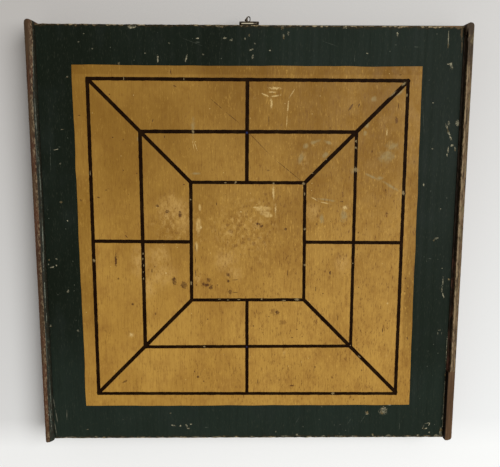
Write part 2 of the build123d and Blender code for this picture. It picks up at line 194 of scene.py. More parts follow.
def smooth(angle):
    """Shades the active piece smooth, apart from arrises sharper than `angle` degrees."""
    bpy.ops.object.shade_smooth_by_angle(angle=math.radians(angle))


def paint(piece, finish):
    """Gives the piece one finish all over."""
    piece.data.materials.clear()
    piece.data.materials.append(finish.material)


def round_over(size, steps, profile=0.5):
    """Rounds the chosen edges over by `size` millimetres."""
    bpy.ops.mesh.bevel(offset=size * mm, segments=steps, affect="EDGES", profile=profile)


def move(x, y, z):
    """Moves the chosen part of the mesh by millimetres."""
    bpy.ops.transform.translate(value=(x * mm, y * mm, z * mm))


def cut_finer(piece, axis, longest):
    """Cuts the edges along one axis until none is longer than `longest` millimetres."""
    form = bmesh.from_edit_mesh(piece.data)
    sizes = [abs(e.verts[0].co[axis] - e.verts[1].co[axis]) / mm for e in form.edges]
    too_long = lambda middle, run: abs(run[axis]) > 0.9 * run.length and run.length > longest
    for _ in range(max(0, math.ceil(math.log2(max(sizes) / longest)))):
        choose(piece, "edges", too_long)
        bpy.ops.mesh.subdivide(number_cuts=1)


def wear(piece, name, depth, grain, direction="NORMAL", group="", mid=1.0):
    """Wears the piece's surface by up to `depth` millimetres in hollows about `grain` wide."""
    hollows = bpy.data.textures.new(name, "CLOUDS")
    hollows.noise_scale = grain * mm
    hollows.noise_depth = 2
    change = piece.modifiers.new(name, "DISPLACE")
    change.texture = hollows
    change.texture_coords = "LOCAL"
    change.direction = direction
    change.strength = depth * mm
    change.mid_level = mid
    if group:
        change.vertex_group = group
    pick(piece)
    bpy.ops.object.modifier_apply(modifier=name)


class Value:
    """A number or a colour that a finish's nodes give; it can be added, taken away and so on."""

    def __init__(self, finish, socket):
        self.finish = finish
        self.socket = socket

    def __add__(self, other):
        return self.finish.maths("ADD", self, other)

    def __sub__(self, other):
        return self.finish.maths("SUBTRACT", self, other)

    def __rsub__(self, other):
        return self.finish.maths("SUBTRACT", other, self)

    def __mul__(self, other):
        return self.finish.maths("MULTIPLY", self, other)

    def __abs__(self):
        return self.finish.maths("ABSOLUTE", self)

    def most(self, other):
        return self.finish.maths("MAXIMUM", self, other)

    def least(self, other):
        return self.finish.maths("MINIMUM", self, other)

    def coat(self, amount, over):
        """This colour with another one laid over it."""
        return self.finish.mix(amount, self, over)

    def ramp(self, low, high, start=0.0, end=1.0):
        """Goes smoothly from start to end while the value goes from low to high."""
        if low > high:
            low, high, start, end = high, low, end, start
        node = self.finish.nodes.new("ShaderNodeMapRange")
        node.interpolation_type = "SMOOTHSTEP"
        for socket, value in zip(node.inputs, (self, low, high, start, end)):
            self.finish.feed(socket, value)
        return Value(self.finish, node.outputs["Result"])


class Finish:
    """A finish mixed from nodes, read on the piece's own coordinates in millimetres."""

    def __init__(self, name):
        self.material = bpy.data.materials.new(name)
        self.material.use_nodes = True
        self.nodes = self.material.node_tree.nodes
        self.links = self.material.node_tree.links
        self.shader = self.nodes["Principled BSDF"]
        metres = Value(self, self.nodes.new("ShaderNodeTexCoord").outputs["Object"])
        self.place = self.vector("SCALE", metres, scale=1000)
        split = self.nodes.new("ShaderNodeSeparateXYZ")
        self.feed(split.inputs[0], self.place)
        self.x, self.y, self.z = [Value(self, socket) for socket in split.outputs]
        self.flat = self.vector("MULTIPLY", self.place, (1, 1, 0))
        self.crossed = self.vector("CROSS_PRODUCT", self.flat, (0, 0, 1))

    def feed(self, socket, value):
        if isinstance(value, Value):
            self.links.new(value.socket, socket)
        elif value is not None:
            socket.default_value = value

    def vector(self, kind, first, second=None, third=None, scale=None):
        node = self.nodes.new("ShaderNodeVectorMath")
        node.operation = kind
        for socket, value in zip(node.inputs, (first, second, third, scale)):
            self.feed(socket, value)
        return Value(self, node.outputs["Value" if kind == "LENGTH" else "Vector"])

    def maths(self, kind, first, second=0.0, clamp=False):
        node = self.nodes.new("ShaderNodeMath")
        node.operation = kind
        node.use_clamp = clamp
        self.feed(node.inputs[0], first)
        self.feed(node.inputs[1], second)
        return Value(self, node.outputs[0])

    def mix(self, amount, under, over):
        """Lays one colour over another; a plain colour is (red, green, blue) up to 255."""
        node = self.nodes.new("ShaderNodeMix")
        node.data_type = "RGBA"
        node.clamp_factor = True
        self.feed(node.inputs["Factor"], amount)
        for socket, colour in ((node.inputs[6], under), (node.inputs[7], over)):
            self.feed(socket, daylight(*colour) if isinstance(colour, tuple) else colour)
        return Value(self, node.outputs[2])

    def texture(self, kind, size, shift):
        """A texture node, stretched to `size` millimetres (one number or x, y and z) and shifted."""
        size = size if isinstance(size, tuple) else (size, size, size)
        spread = self.nodes.new("ShaderNodeMapping")
        spread.inputs["Location"].default_value = shift
        spread.inputs["Scale"].default_value = [1 / s for s in size]
        self.feed(spread.inputs["Vector"], self.place)
        node = self.nodes.new(kind)
        node.inputs["Scale"].default_value = 1.0
        self.links.new(spread.outputs[0], node.inputs["Vector"])
        return node

    def noise(self, size, detail=3.0, rough=0.5, shift=(0, 0, 0), bend=0.0):
        """Cloudy variation from 0 to 1, in patches of about `size` millimetres."""
        node = self.texture("ShaderNodeTexNoise", size, shift)
        node.inputs["Detail"].default_value = detail
        node.inputs["Roughness"].default_value = rough
        node.inputs["Distortion"].default_value = bend
        return Value(self, node.outputs[0])

    def specks(self, size, share, radius, shift=(0, 0, 0)):
        """Soft specks on a share of points that lie scattered about `size` millimetres apart."""
        node = self.texture("ShaderNodeTexVoronoi", size, shift)
        tone = self.nodes.new("ShaderNodeSeparateColor")
        self.links.new(node.outputs["Color"], tone.inputs[0])
        few = self.maths("LESS_THAN", Value(self, tone.outputs[0]), share)
        return few * Value(self, node.outputs["Distance"]).ramp(radius, radius * 0.5)

    def marks(self, spots, edge, ragged, grain=1.3):
        """Marks listed one by one: (x, y, width, height, turn) in millimetres and degrees."""
        nearest = None
        for x, y, width, height, *turn in spots:
            turn = math.radians(turn[0] if turn else 0)
            along, across = math.cos(turn), math.sin(turn)
            wide, high = width / 2, height / 2
            stretch = (along / wide, along / high, 0)
            shift = ((-x * along - y * across) / wide, (x * across - y * along) / high, 0)
            spot = self.vector("MULTIPLY_ADD", self.flat, stretch, shift)
            if turn:
                lean = (across / wide, across / high, 0)
                spot = self.vector("MULTIPLY_ADD", self.crossed, lean, spot)
            away = self.vector("LENGTH", spot)
            nearest = away if nearest is None else nearest.least(away)
        rough = (self.noise(grain) - 0.5) * (2 * ragged)
        return (nearest + rough).ramp(1.0, edge)

    def done(self, colour, rough, height, depth, metal=0.0, specular=0.5):
        bump = self.nodes.new("ShaderNodeBump")
        bump.inputs["Distance"].default_value = depth * mm
        self.feed(bump.inputs["Height"], height)
        self.links.new(bump.outputs[0], self.shader.inputs["Normal"])
        self.feed(self.shader.inputs["Base Color"], colour)
        self.feed(self.shader.inputs["Roughness"], rough)
        self.shader.inputs["Metallic"].default_value = metal
        self.shader.inputs["Specular IOR Level"].default_value = specular


def scratch(x1, y1, x2, y2, width):
    """A straight scratch between two points, as a long thin mark."""
    turn = math.degrees(math.atan2(y2 - y1, x2 - x1))
    return ((x1 + x2) / 2, (y1 + y2) / 2, math.hypot(x2 - x1, y2 - y1) * 1.06, width, turn)


def aged_pine(finish, along):
    """Bare old pine whose grain runs along one axis (0, 1 or 2); gives colour and height."""
    rings_size = [90 if axis == along else 2.2 for axis in range(3)]
    fibres_size = [25 if axis == along else 0.5 for axis in range(3)]
    rings = finish.noise(tuple(rings_size), detail=2, bend=0.6)
    fibres = finish.noise(tuple(fibres_size), detail=2)
    boards = finish.noise((70, 110, 60), detail=2, shift=(3, 7, 1))
    scuffs = finish.noise((7, 12, 7), detail=6, rough=0.72, shift=(1, 2, 8))
    colour = finish.mix(rings.ramp(0.36, 0.64), (150, 112, 70), (178, 141, 95))
    colour = colour.coat(fibres.ramp(0.4, 0.72, 0, 0.45), (120, 84, 50))
    colour = colour.coat(boards.ramp(0.42, 0.68, 0, 0.35), (112, 78, 46))
    colour = colour.coat(scuffs.ramp(0.56, 0.72, 0, 0.45), (92, 66, 42))
    nicks = finish.specks((16, 20, 16), 0.25, 0.03)
    colour = colour.coat(nicks, (60, 40, 24))
    height = rings * 0.4 + fibres
    return colour, height


def border_green(finish):
    """Old dark green oil paint with brush strokes, haze and pale specks, painted lighter toward +x
    and -y as painted light.
    """
    strokes = finish.noise((0.9, 26, 9), detail=4, rough=0.6, shift=(5, 0, 0))
    clouds = finish.noise((55, 70, 50), shift=(1.7, 2.3, 0))
    haze = finish.noise((22, 34, 20), detail=4, shift=(8.1, 0.6, 0))
    # Painted light: the green is painted lighter toward +x and toward -y, where the light falls,
    # with cloudy random variation added.
    painted_light_and_clouds = finish.x.ramp(-50, 60, 0.05, 0.58).most(finish.y.ramp(-60, -150, 0.05, 0.9))
    painted_light_and_clouds += clouds.ramp(0.3, 0.7, -0.1, 0.15)
    colour = finish.mix(painted_light_and_clouds, (20, 26, 18), (34, 43, 36))
    colour = colour.coat(haze.ramp(0.5, 0.75, 0, 0.35), (36, 42, 38))
    colour = colour.coat(strokes.ramp(0.45, 0.8, 0, 0.35), (15, 18, 13))
    rubs = finish.noise((0.6, 4, 2), rough=0.65, shift=(2, 7, 1))
    colour = colour.coat(rubs.ramp(0.56, 0.74, 0, 0.4), (70, 72, 58))
    dust = finish.specks((5, 6, 5), 0.22, 0.10)
    colour = colour.coat(dust * 0.5, (112, 114, 98))
    return colour, strokes


hinge_edge, hasp_edge = -189.9, 187.3
back = Finish("green painted wood, back")
bare, bare_height = aged_pine(back, 1)
green, green_height = border_green(back)
scuffs = back.noise((9, 16, 9), detail=6, rough=0.65, shift=(4, 4, 4))
from_end = (hasp_edge - back.y).least(back.y - hinge_edge)
chips = back.noise((5, 2, 3), detail=4, rough=0.6, shift=(2, 5, 1))
from_end -= chips.ramp(0.44, 0.78) * 5
lost = scuffs.ramp(0.62, 0.7).most(from_end.ramp(0.55, 0.15))
inside = back.z.ramp(9.0, 9.4)
lost = lost.most(inside)
back.done(
    back.mix(lost, green, bare),
    lost.ramp(0, 1, 0.5, 0.75),
    bare_height + lost.ramp(0, 1, 1.2, 0),
    0.12,
    specular=0.12,
)
back_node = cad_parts["back_panel"]
paint(back_node, back)


# Walls: four plain pine strips, two to a tray, glued under the panels' ends and nailed through
# the rails. They are painted green outside, and the hinge walls are let in for the hinge leaves.
def cut_away(piece, tool):
    """Cuts the tool's shape out of the piece and throws the tool away."""
    cut = piece.modifiers.new("cut", "BOOLEAN")
    cut.operation = "DIFFERENCE"
    cut.solver = "EXACT"
    cut.object = tool
    pick(piece)
    bpy.ops.object.modifier_apply(modifier="cut")
    bpy.data.objects.remove(tool)


parting = 18.0
walls = Finish("green painted wood, walls")
bare, bare_height = aged_pine(walls, 0)
green, green_height = border_green(walls)
outside = walls.y.ramp(hasp_edge - 0.7, hasp_edge - 0.3).most(
    walls.y.ramp(hinge_edge + 0.7, hinge_edge + 0.3)
)
rubs = walls.noise((16, 9, 4), detail=6, rough=0.65, shift=(1, 6, 2))
from_parting = abs(walls.z - parting)
rubs += from_parting.ramp(2.2, 0.0, 0, 0.22)
painted = outside * rubs.ramp(0.64, 0.57)
grime = walls.mix(0.55, bare, (60, 44, 30))
wood = walls.mix(outside, bare, grime)
walls.done(
    walls.mix(painted, wood, green),
    painted.ramp(0, 1, 0.75, 0.5),
    bare_height + painted,
    0.12,
    specular=0.15,
)
rails_inside = 183.8
wall_thick, wall_high = 9, 8.5
for tray, low_z in (("lid", parting), ("base", parting - wall_high)):
    for edge, low_y in (("hasp", hasp_edge - wall_thick), ("hinge", hinge_edge)):
        name = f"{tray}_{edge}_wall"
        wall = block(
            name + "_strip",
            (-rails_inside, low_y, low_z),
            (rails_inside, low_y + wall_thick, low_z + wall_high),
        )
        edit()
        choose(wall, "edges", runs_along(0))
        round_over(0.35, 2)
        cut_finer(wall, 0, 3.0)
        edit(False)
        wear(wall, name + " wear", 0.12, 9)
        if edge == "hinge":
            for hinge_x in (-115, 115):
                leaf_seat = block("seat", (hinge_x - 19, -191, 17), (hinge_x + 19, -182.3, 19))
                cut_away(wall, leaf_seat)
        smooth(35)
        paint(wall, walls)
        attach(wall, tray)
        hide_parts(name)

# Rails: four brown hardwood strips that close the trays' sides and stand 5 mm proud of the
# panels to guard them. Their ends are rounded, and a long splinter is gone from the lid's right
# rail. The left rails kept the green paint that ran on to their inner arris.
def rail(name, side, toward, outer_x, low_y, high_y, bevel, foot_fall, foot_round):
    """One rail: side -1 left or +1 right, toward +1 in the lid or -1 in the base."""
    inner_x, middle_x = rails_inside + 1.2, rails_inside + 3.6
    end_fall, end_round = 3.4, 5.4
    front_z = parting + toward * 17.95
    edges_x = sorted((side * rails_inside, side * outer_x))
    edges_z = sorted((parting, front_z))
    strip = block(name, (edges_x[0], low_y, edges_z[0]), (edges_x[1], high_y, edges_z[1]))
    edit()
    choose(strip, "verts", lambda spot: abs(spot.x) < inner_x and spot.y > 0)
    move(0, -end_fall, 0)
    choose(strip, "verts", lambda spot: abs(spot.x) < inner_x and spot.y < 0)
    move(0, foot_fall, 0)
    for end, size in ((1, end_round), (-1, foot_round)):
        corner = lambda middle, run: abs(run.z) > 10 and middle.y * end > 0
        choose(strip, "edges", lambda middle, run: corner(middle, run) and abs(middle.x) > middle_x)
        round_over(size, 8)
    front = lambda middle, run: abs(middle.z - front_z) < 0.1 and abs(run.y) > 100
    choose(strip, "edges", lambda middle, run: front(middle, run) and abs(middle.x) < inner_x)
    round_over(bevel, 4, profile=0.4)
    choose(strip, "faces", lambda middle, way: way.z * toward > 0.95)
    bpy.ops.mesh.region_to_loop()
    form = bmesh.from_edit_mesh(strip.data)
    for edge in form.edges:
        if edge.select and abs((edge.verts[0].co.x + edge.verts[1].co.x) / 2 / mm) < middle_x:
            edge.select = False
    bmesh.update_edit_mesh(strip.data)
    round_over(0.7, 3)
    cut_finer(strip, 1, 1.1)
    cut_finer(strip, 0, 1.3)
    cut_finer(strip, 2, 1.3)
    edit(False)
    arris = strip.vertex_groups.new(name="arrises")
    for point in strip.data.vertices:
        spot = point.co / mm
        near_front = max(0.0, 1 - abs(spot.z - front_z) / 4.0)
        near_end = max(0.0, 1 - min(abs(spot.y - low_y), abs(high_y - spot.y)) / 4.0)
        from_outside = min(1.0, 0.15 + (outer_x - abs(spot.x)) / 3.0)
        arris.add([point.index], max(near_front, near_end) * from_outside, "REPLACE")
    wear(strip, name + " dents", 0.9, 6, group="arrises", mid=0.75)
    wear(strip, name + " knocks", 0.5, 2.2, group="arrises", mid=0.75)
    wear(strip, name + " waver", 0.2, 40, mid=0.9)
    return strip


def rail_wood(finish, dark, pale, streak):
    """Old brown wood with a fine grain along the rail; gives colour and height."""
    fibres = finish.noise((0.7, 26, 0.7), detail=4, rough=0.6)
    bands = finish.noise((2.6, 60, 2.6), detail=2, bend=0.5, shift=(4, 1, 0))
    blotch = finish.noise((3.5, 10, 3.5), detail=5, rough=0.6, shift=(2, 9, 4))
    colour = finish.mix(bands.ramp(0.35, 0.66), dark, pale)
    colour = colour.coat(fibres.ramp(0.5, 0.75, 0, 0.7), streak)
    colour = colour.coat(blotch.ramp(0.54, 0.74, 0, 0.6), streak)
    return colour, fibres


worn = Finish("worn brown wood, left rails")
colour, fibres = rail_wood(worn, (56, 34, 18), (86, 54, 34), (34, 21, 12))
sunned = worn.noise((20, 34, 20), detail=2, shift=(9, 2, 6))
colour = colour.coat(sunned.ramp(0.45, 0.62, 0, 0.5), (72, 57, 36))
depth = abs(worn.z - parting)
front = depth.ramp(11.8, 12.4)
rub = worn.noise((1.6, 5, 1.6), detail=5, rough=0.65, shift=(7, 3, 1))
paint_edge = worn.y.ramp(122, 174, -187.3, -185.4) + worn.y.ramp(-90, -150, 0, -0.7) + rub * 1.2
past_edge = worn.x - paint_edge
speckle = worn.noise((0.8, 2.2, 0.8), rough=0.6, shift=(1, 8, 5))
rubbed = past_edge.ramp(-3.4, -0.6) * rub.ramp(0.42, 0.58) * speckle.ramp(0.44, 0.56) * front
colour = colour.coat(rubbed * 0.9, (132, 114, 88))
green, _ = border_green(worn)
old_green = worn.mix(rub.ramp(0.4, 0.62), (38, 34, 24), green)
crumbled = speckle.ramp(0.54, 0.64) * rub.ramp(0.46, 0.6, 0, 0.7)
old_green = worn.mix(crumbled, old_green, (92, 88, 68))
colour = colour.coat(past_edge.ramp(0.0, 0.35) * front, old_green)
dull_cracks = [
    scratch(-184.9, 176, -185.4, 132, 0.6), scratch(-185.4, 134, -184.8, 82, 0.7),
    scratch(-184.7, 84, -184.3, 25, 0.8), scratch(-184.4, 30, -184.7, -30, 0.7),
    scratch(-186.4, -70, -186.0, -122, 0.5), scratch(-185.2, -118, -184.6, -170, 0.5),
    scratch(-187.4, 128, -186.2, 108, 0.6), scratch(-186.2, 106, -184.6, 96, 0.6),
    scratch(-186.6, 92, -185.3, 66, 0.5),
]
bright_cracks = [
    scratch(-184.6, 16, -184.8, -8, 0.5), scratch(-185.0, -34, -185.2, -62, 0.6),
    scratch(-184.9, -6, -185.2, -30, 0.4), scratch(-184.7, -66, -185.0, -76, 0.4),
    scratch(-186.3, -150, -185.0, -182, 0.4), scratch(-187.2, -163, -187.0, -165, 0.8),
]
dull = worn.marks(dull_cracks, edge=0.1, ragged=0.9, grain=2.4)
bright = worn.marks(bright_cracks, edge=0.2, ragged=0.9, grain=1.8)
cracked = (dull * 0.4).most(bright * 0.8) * front
colour = colour.coat(cracked, (142, 146, 130))
height = fibres + rub * 1.5
worn.done(colour, rubbed.ramp(0, 1, 0.6, 0.85), height, 0.25, specular=0.15)


def right_rail_finish(name, torn):
    """Plain brown wood, its inner face above the panel painted nearly black as painted shade; `torn`
    bares the grain and the splinter's bed.
    """
    finish = Finish(name)
    colour, height = rail_wood(finish, (82, 59, 38), (110, 83, 58), (58, 40, 26))
    depth = abs(finish.z - parting)
    # Painted shade: the inner face above the panel is painted nearly black, where the recess between
    # rail and panel lies in shade.
    painted_shade_inner_face = finish.x.ramp(184.6, 184.1) * depth.ramp(12, 12.5)
    colour = colour.coat(painted_shade_inner_face, (26, 17, 11))
    if torn:
        ragged = finish.noise((1.4, 5, 1.4), detail=4, shift=(7, 3, 1))
        along = (finish.y + ragged).ramp(-122.6, -121.8)
        strands = finish.noise((0.6, 9, 0.6), detail=5, rough=0.7, shift=(3, 3, 3))
        split = finish.noise((0.8, 16, 0.8), rough=0.6, shift=(6, 2, 3))
        stain = finish.noise((3, 12, 3), detail=4, rough=0.6, shift=(1, 5, 3))
        bare_wood = finish.mix(strands.ramp(0.36, 0.6), (74, 57, 38), (132, 111, 82))
        bare_wood = bare_wood.coat(stain.ramp(0.5, 0.7, 0, 0.6), (104, 74, 50))
        bare_wood = bare_wood.coat(stain.ramp(0.48, 0.32, 0, 0.5), (112, 106, 70))
        bare_wood = bare_wood.coat(split.ramp(0.5, 0.62, 0, 0.85), (50, 38, 27))
        top_grime = finish.y.ramp(142, 168) * stain.ramp(0.38, 0.52, 0.35, 0.9)
        bare_wood = bare_wood.coat(top_grime, (62, 51, 39))
        face = depth.ramp(13.6, 14.6) * along
        colour = colour.coat(face, bare_wood)
        # The splinter's bed is painted nearly black, partly as grime and partly as painted shade in
        # the deep groove.
        bed = depth.ramp(16.9, 15.2) * depth.ramp(12.4, 12.8) * finish.x.ramp(187.2, 186.8) * along
        red_wood = stain.ramp(0.46, 0.6) * finish.y.ramp(0, -25)
        grime = finish.mix(strands.ramp(0.38, 0.6), (24, 18, 11), (54, 42, 28))
        grime = grime.coat(red_wood, (86, 56, 42))
        colour = colour.coat(bed, grime)
        frayed = abs(finish.x + stain * 1.6 - 187.5).ramp(0.8, 0.3) * ragged.ramp(0.4, 0.54)
        frayed *= finish.y.ramp(160, 140)
        colour = colour.coat(frayed * face, (142, 122, 92))
        height += strands * face
    finish.done(colour, 0.7, height, 0.25, specular=0.15)
    return finish


right_brown = right_rail_finish("worn brown wood, base right rail", False)
torn_brown = right_rail_finish("worn brown wood, lid right rail", True)

for tray, toward in (("base", -1), ("lid", 1)):
    left = rail(f"{tray}_left_rail_strip", -1, toward, 191.1, -192.3, 192.1, 3.2, 2.2, 2.6)
    right = rail(f"{tray}_right_rail_strip", 1, toward, 190.6, -191.1, 190.7, 0.6, 0.4, 4.2)
    if tray == "lid":
        splinter = block("splinter", (182.0, -123.3, 31.0), (186.0, 172.0, 38.0))
        edit()
        choose(splinter, "faces", lambda middle, way: way.y > 0.9)
        bpy.ops.mesh.extrude_region_move(TRANSFORM_OT_translate={"value": (0, 12 * mm, 0)})
        choose(splinter, "verts", lambda spot: spot.y > 180 and spot.x > 184)
        move(-0.8, 0, 0)
        choose(splinter, "verts", lambda spot: spot.y > 180 and spot.x < 184)
        move(2.6, 0, 0)
        choose(splinter, "verts", lambda spot: 165 < spot.y < 178 and spot.x < 184)
        move(1.5, 0, 0)
        cut_finer(splinter, 1, 1.2)
        cut_finer(splinter, 2, 1.2)
        edit(False)
        wear(splinter, "torn edge", 1.5, 3.2, direction="X", mid=0.5)
        wear(splinter, "torn fibres", 0.8, 1.5, direction="X", mid=0.5)
        cut_away(right, splinter)
    for strip, side, brown in (
        (left, "left", worn),
        (right, "right", torn_brown if tray == "lid" else right_brown),
    ):
        pick(strip)
        smooth(40)
        paint(strip, brown)
        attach(strip, tray)
        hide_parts(f"{tray}_{side}_rail")

# Mill board: the lid's pine panel, glued and nailed down on the walls and painted dark green to
# its edges. It was sawn a little out of square. The paint is chipped to the priming and the bare
# wood along both ends, and knocked and scratched all over the border.
board_back, board_face = 26.5, 31.0
board = block("mill_board", (-183.4, hinge_edge, board_back), (183.4, hasp_edge, board_face))
edit()
choose(board, "verts", lambda spot: spot.x > 0 and spot.y > 0)
move(0, -1.2, 0)
choose(board, "verts", lambda spot: spot.x < 0)
move(-0.35, 0, 0)
choose(board, "edges", lambda middle, run: abs(run.x) > 100 and middle.z > 30)
round_over(0.7, 3)
cut_finer(board, 0, 1.5)
edit(False)
ends = board.vertex_groups.new(name="ends")
for point in board.data.vertices:
    if abs(point.co.y) > 185 * mm and point.co.z > 29 * mm:
        ends.add([point.index], 1.0, "REPLACE")
wear(board, "end knocks", 0.9, 5, group="ends", mid=0.85)
smooth(40)

panel = Finish("green painted wood, mill panel")
bare, bare_height = aged_pine(panel, 1)
green, green_height = border_green(panel)
flaked = panel.noise(2.6, detail=4, rough=0.7)
priming = panel.mix(flaked.ramp(0.38, 0.62), (98, 95, 78), (172, 164, 136))
priming = priming.coat(
    panel.noise(7, detail=2, shift=(2, 9, 3)).ramp(0.57, 0.64), (124, 106, 72)
)
border_chips = [
    (-101, 184.6, 7.6, 3), (-135.3, 166.5, 1.4, 1.4), (-142, 178.7, 1.2, 1), (-147, 172, 1.4, 1),
    (-69.5, 171.2, 1.5, 1.3), (-90.3, 162.8, 1.4, 1.2), (-79.5, 158.5, 1.4, 6),
    (-55, 159, 1.4, 7.6, -15), (-40.7, 162, 2.2, 1.5), (-45.3, 175.3, 3.4, 1.2),
    (-113, 154, 1.9, 2.5), (-25.3, 185.3, 6.8, 2.5), (-22, 175.5, 3.4, 1.7),
    (-16.5, 174, 3.4, 2, 20), (-4.5, 175.3, 1.7, 1.7), (-164, 98.2, 2.5, 1, 20),
    (-170.3, 80.7, 4.2, 0.9, 10), (-167, 68.7, 1.7, 1.7), (-162.8, 17.8, 1.7, 1.7),
    (-168, 34.5, 2.5, 2.1), (-157.8, 142.8, 2, 1.4, 30), (27.5, 184.5, 2.9, 3.4),
    (28.5, 177, 1.7, 4.2), (32.5, 179.5, 1.7, 3.4), (81, 185, 3.7, 2.5), (126.2, 179.5, 1.7, 3.8),
    (170.3, 175, 0.9, 15.3), (174.2, 152.8, 2.2, 6, 15), (172.5, 155, 4.2, 1.2, 20),
    (16.7, 165.3, 2, 1), (100.8, 163.2, 1.9, 1), (2.2, 160, 2, 3.4), (1, 166, 3.4, 1.4, 25),
    (4, 171, 1.7, 1.2), (-1, 178, 1.2, 2.5), (174.3, 104, 2, 4.2), (172.8, 101, 1.7, 5.1, 20),
    (174.6, 96, 1.9, 5.1, 25), (176.8, 91, 1.7, 5.1, 25), (178.2, 85, 3.1, 2), (175, 81, 1.4, 5.1),
    (174.2, 77, 1, 3.4), (181, 82, 1.4, 4.2), (182, 104.5, 3.1, 5.1), (159.5, 121.5, 1.3, 1),
    (161, 82, 1.5, 1.5), (154.7, 50.3, 1.4, 2.5), (171, 28.7, 1.3, 1), (168.3, 2, 4.2, 2, 20),
    (166, 0, 1.7, 2), (-174.5, -17, 2.2, 1.5, 30), (-181, -18, 1.4, 2.2),
    (-178.5, -24.5, 4.2, 1.4, 15), (-174.7, -23, 1.4, 1.7), (-181.8, -22, 1.4, 1.4),
    (-165.3, -47, 1.7, 2.7, -20), (-182.8, -79.5, 1.7, 2.5), (-157.8, -84, 2, 2.2, 30),
    (-74.5, -164.7, 2.2, 1.1), (-71.8, -177, 4.2, 1.4, -10), (-65.3, -177.5, 1.7, 2),
    (-59.5, -177, 1.4, 4.2, 20), (-57.6, -180, 3, 1.4), (-55.3, -175.8, 1.9, 1.4),
    (-145, -188, 4.2, 1.4), (-50.3, -188.7, 10.2, 1.4), (-152.8, -180.8, 1.7, 1),
    (126.3, -163, 7.2, 7.6), (110.8, -165, 3.4, 3.9), (164.8, -179, 1, 4.2, -20),
    (170.2, -176.6, 1, 3.9, -20), (167.8, -175.6, 4.2, 1, 15), (167, -180.8, 4.2, 1, 15),
    (170.5, -184.7, 1.7, 1.4), (181.6, -185, 2.9, 10.2), (178.5, -188.4, 6.8, 2.5),
    (183, -150, 1.4, 11.9), (183.2, -163, 1.2, 8.5), (182.8, -171, 1.7, 4.2),
    (183, -128, 1.4, 4.2), (176.3, -38, 1.1, 8.5), (175.8, -45, 1, 6), (177.2, -51, 1, 6, 20),
    (181.7, -36, 2, 1.9), (175.5, -84, 3.4, 0.9, 10), (177.6, -87, 0.9, 2.5), (174, -87, 1, 2.5),
    (175, -25.8, 1.2, 1), (67.8, -158.7, 1.5, 1.1), (131.7, -156.9, 3.4, 1.5),
    (45, -187, 2.5, 2.5), (25, -183.5, 1.2, 1.7), (131.7, -188, 5.1, 2.5), (137, -188.6, 2.5, 2),
    (117, -187, 2, 2.5), (85, -188.4, 6.8, 1.7), (34, -188.2, 8.5, 1.7), (-168, -188.2, 6, 0.8),
    (-120, -188.4, 4, 1.1), (-104, -188.6, 7, 0.9), (-86, -188.4, 4.4, 1), (-70, -188.6, 6, 0.9),
    (-30, -188.4, 9, 1), (-13, -188.6, 5, 0.9), (2, -188.4, 4, 1.2), (14, -188.6, 6, 0.9),
    (57, -188.5, 6, 1.2), (70, -188.3, 3, 1.4), (99, -188.5, 7, 1.1), (150, -188.5, 9, 1.2),
    (160, -187.6, 3, 2), (168, -188.2, 6, 1.4), (178, -187.8, 5, 2), (181.6, -182, 1.8, 6),
    scratch(183.0, -90, 183.1, -118, 0.8), scratch(183.1, -126, 183.0, -182, 1.1),
    scratch(-182, -188.3, -150, -188.6, 0.6),
]
chipped = panel.marks(border_chips, edge=0.75, ragged=1.3, grain=0.9)
crumbs = panel.noise((0.8, 0.9, 0.8), rough=0.7, shift=(4, 2, 8))
chipped *= crumbs.ramp(0.35, 0.5, 0.35, 1.0)
dirty = panel.noise(5, detail=2, shift=(6, 1, 4))
chipped *= dirty.ramp(0.42, 0.58, 0.5, 1.0)
faint_scuffs = [
    (-167.3, 83, 2.4, 1.2), (-45, 172, 5, 1.2), (143.3, 168.7, 7, 1.2), (90, 158.7, 1, 8),
    (161, 44.5, 1.6, 2), (163.3, -16.7, 3, 1.4), (158, -15, 1.6, 2), (-41.2, -179, 5, 1.4),
    scratch(104, -176, 110, -166, 0.7), scratch(142, -184, 142, -172, 0.8),
    scratch(92, -177, 97, -169, 0.7), scratch(43, -176, 47, -169, 0.7),
    scratch(-175, 86, -176, 58, 0.6), scratch(150, 128, 153, 92, 0.5),
    scratch(-60, 176, -38, 168, 0.5), scratch(60, 174, 78, 168, 0.5),
]
scuffed = panel.marks(faint_scuffs, edge=0.1, ragged=0.9, grain=1.6)
worn_lines = [
    scratch(-184.9, 190, -184.7, -120, 1.3), scratch(-184, -146.7, -182.3, -160, 1.1),
    scratch(-182.3, -160, -180.3, -176, 1.0), scratch(-184.5, -166.7, -181.7, -188.3, 1.1),
    scratch(-171.5, -160, -172, -172, 0.8),
]
rubbed_line = panel.marks(worn_lines, edge=0.3, ragged=0.55, grain=2.4)
sawn_end = panel.y + panel.x.ramp(-183, 183, 0, 1.2)
from_end = (hasp_edge - sawn_end).least(panel.y - hinge_edge)
nibbled = panel.noise((3.2, 1.6, 3), detail=4, rough=0.65, shift=(1, 3, 8))
from_end -= nibbled.ramp(0.4, 0.72) * 2.0
rubbed_band = from_end.ramp(2.4, 0.2, 0, 0.75)
arris = from_end.ramp(0.55, 0.1) * crumbs.ramp(0.34, 0.5, 0.3, 1)
corner_wear = [(178.6, 185.2, 8.5, 3.6), (181.6, 181, 2.4, 14), (182.2, 170, 1.3, 12)]
bare_corner = panel.marks(corner_wear, edge=0.4, ragged=0.8, grain=2.2)
colour = panel.mix(scuffed * 0.5, green, (86, 90, 78))
colour = colour.coat(rubbed_line * 0.75, (112, 108, 92))
colour = colour.coat(chipped, priming)
worn_wood = panel.mix(
    panel.noise((9, 3, 3), detail=4, shift=(5, 5, 5)).ramp(0.42, 0.6), (96, 82, 58), (156, 140, 108)
)
colour = colour.coat(rubbed_band, (50, 40, 24))
colour = colour.coat(bare_corner * 0.7, (104, 84, 58))
colour = colour.coat(arris, worn_wood)
side_edge = panel.z.ramp(board_face - 0.7, board_face - 1.0)
colour = colour.coat(side_edge, panel.mix(0.5, bare, (52, 38, 28)))
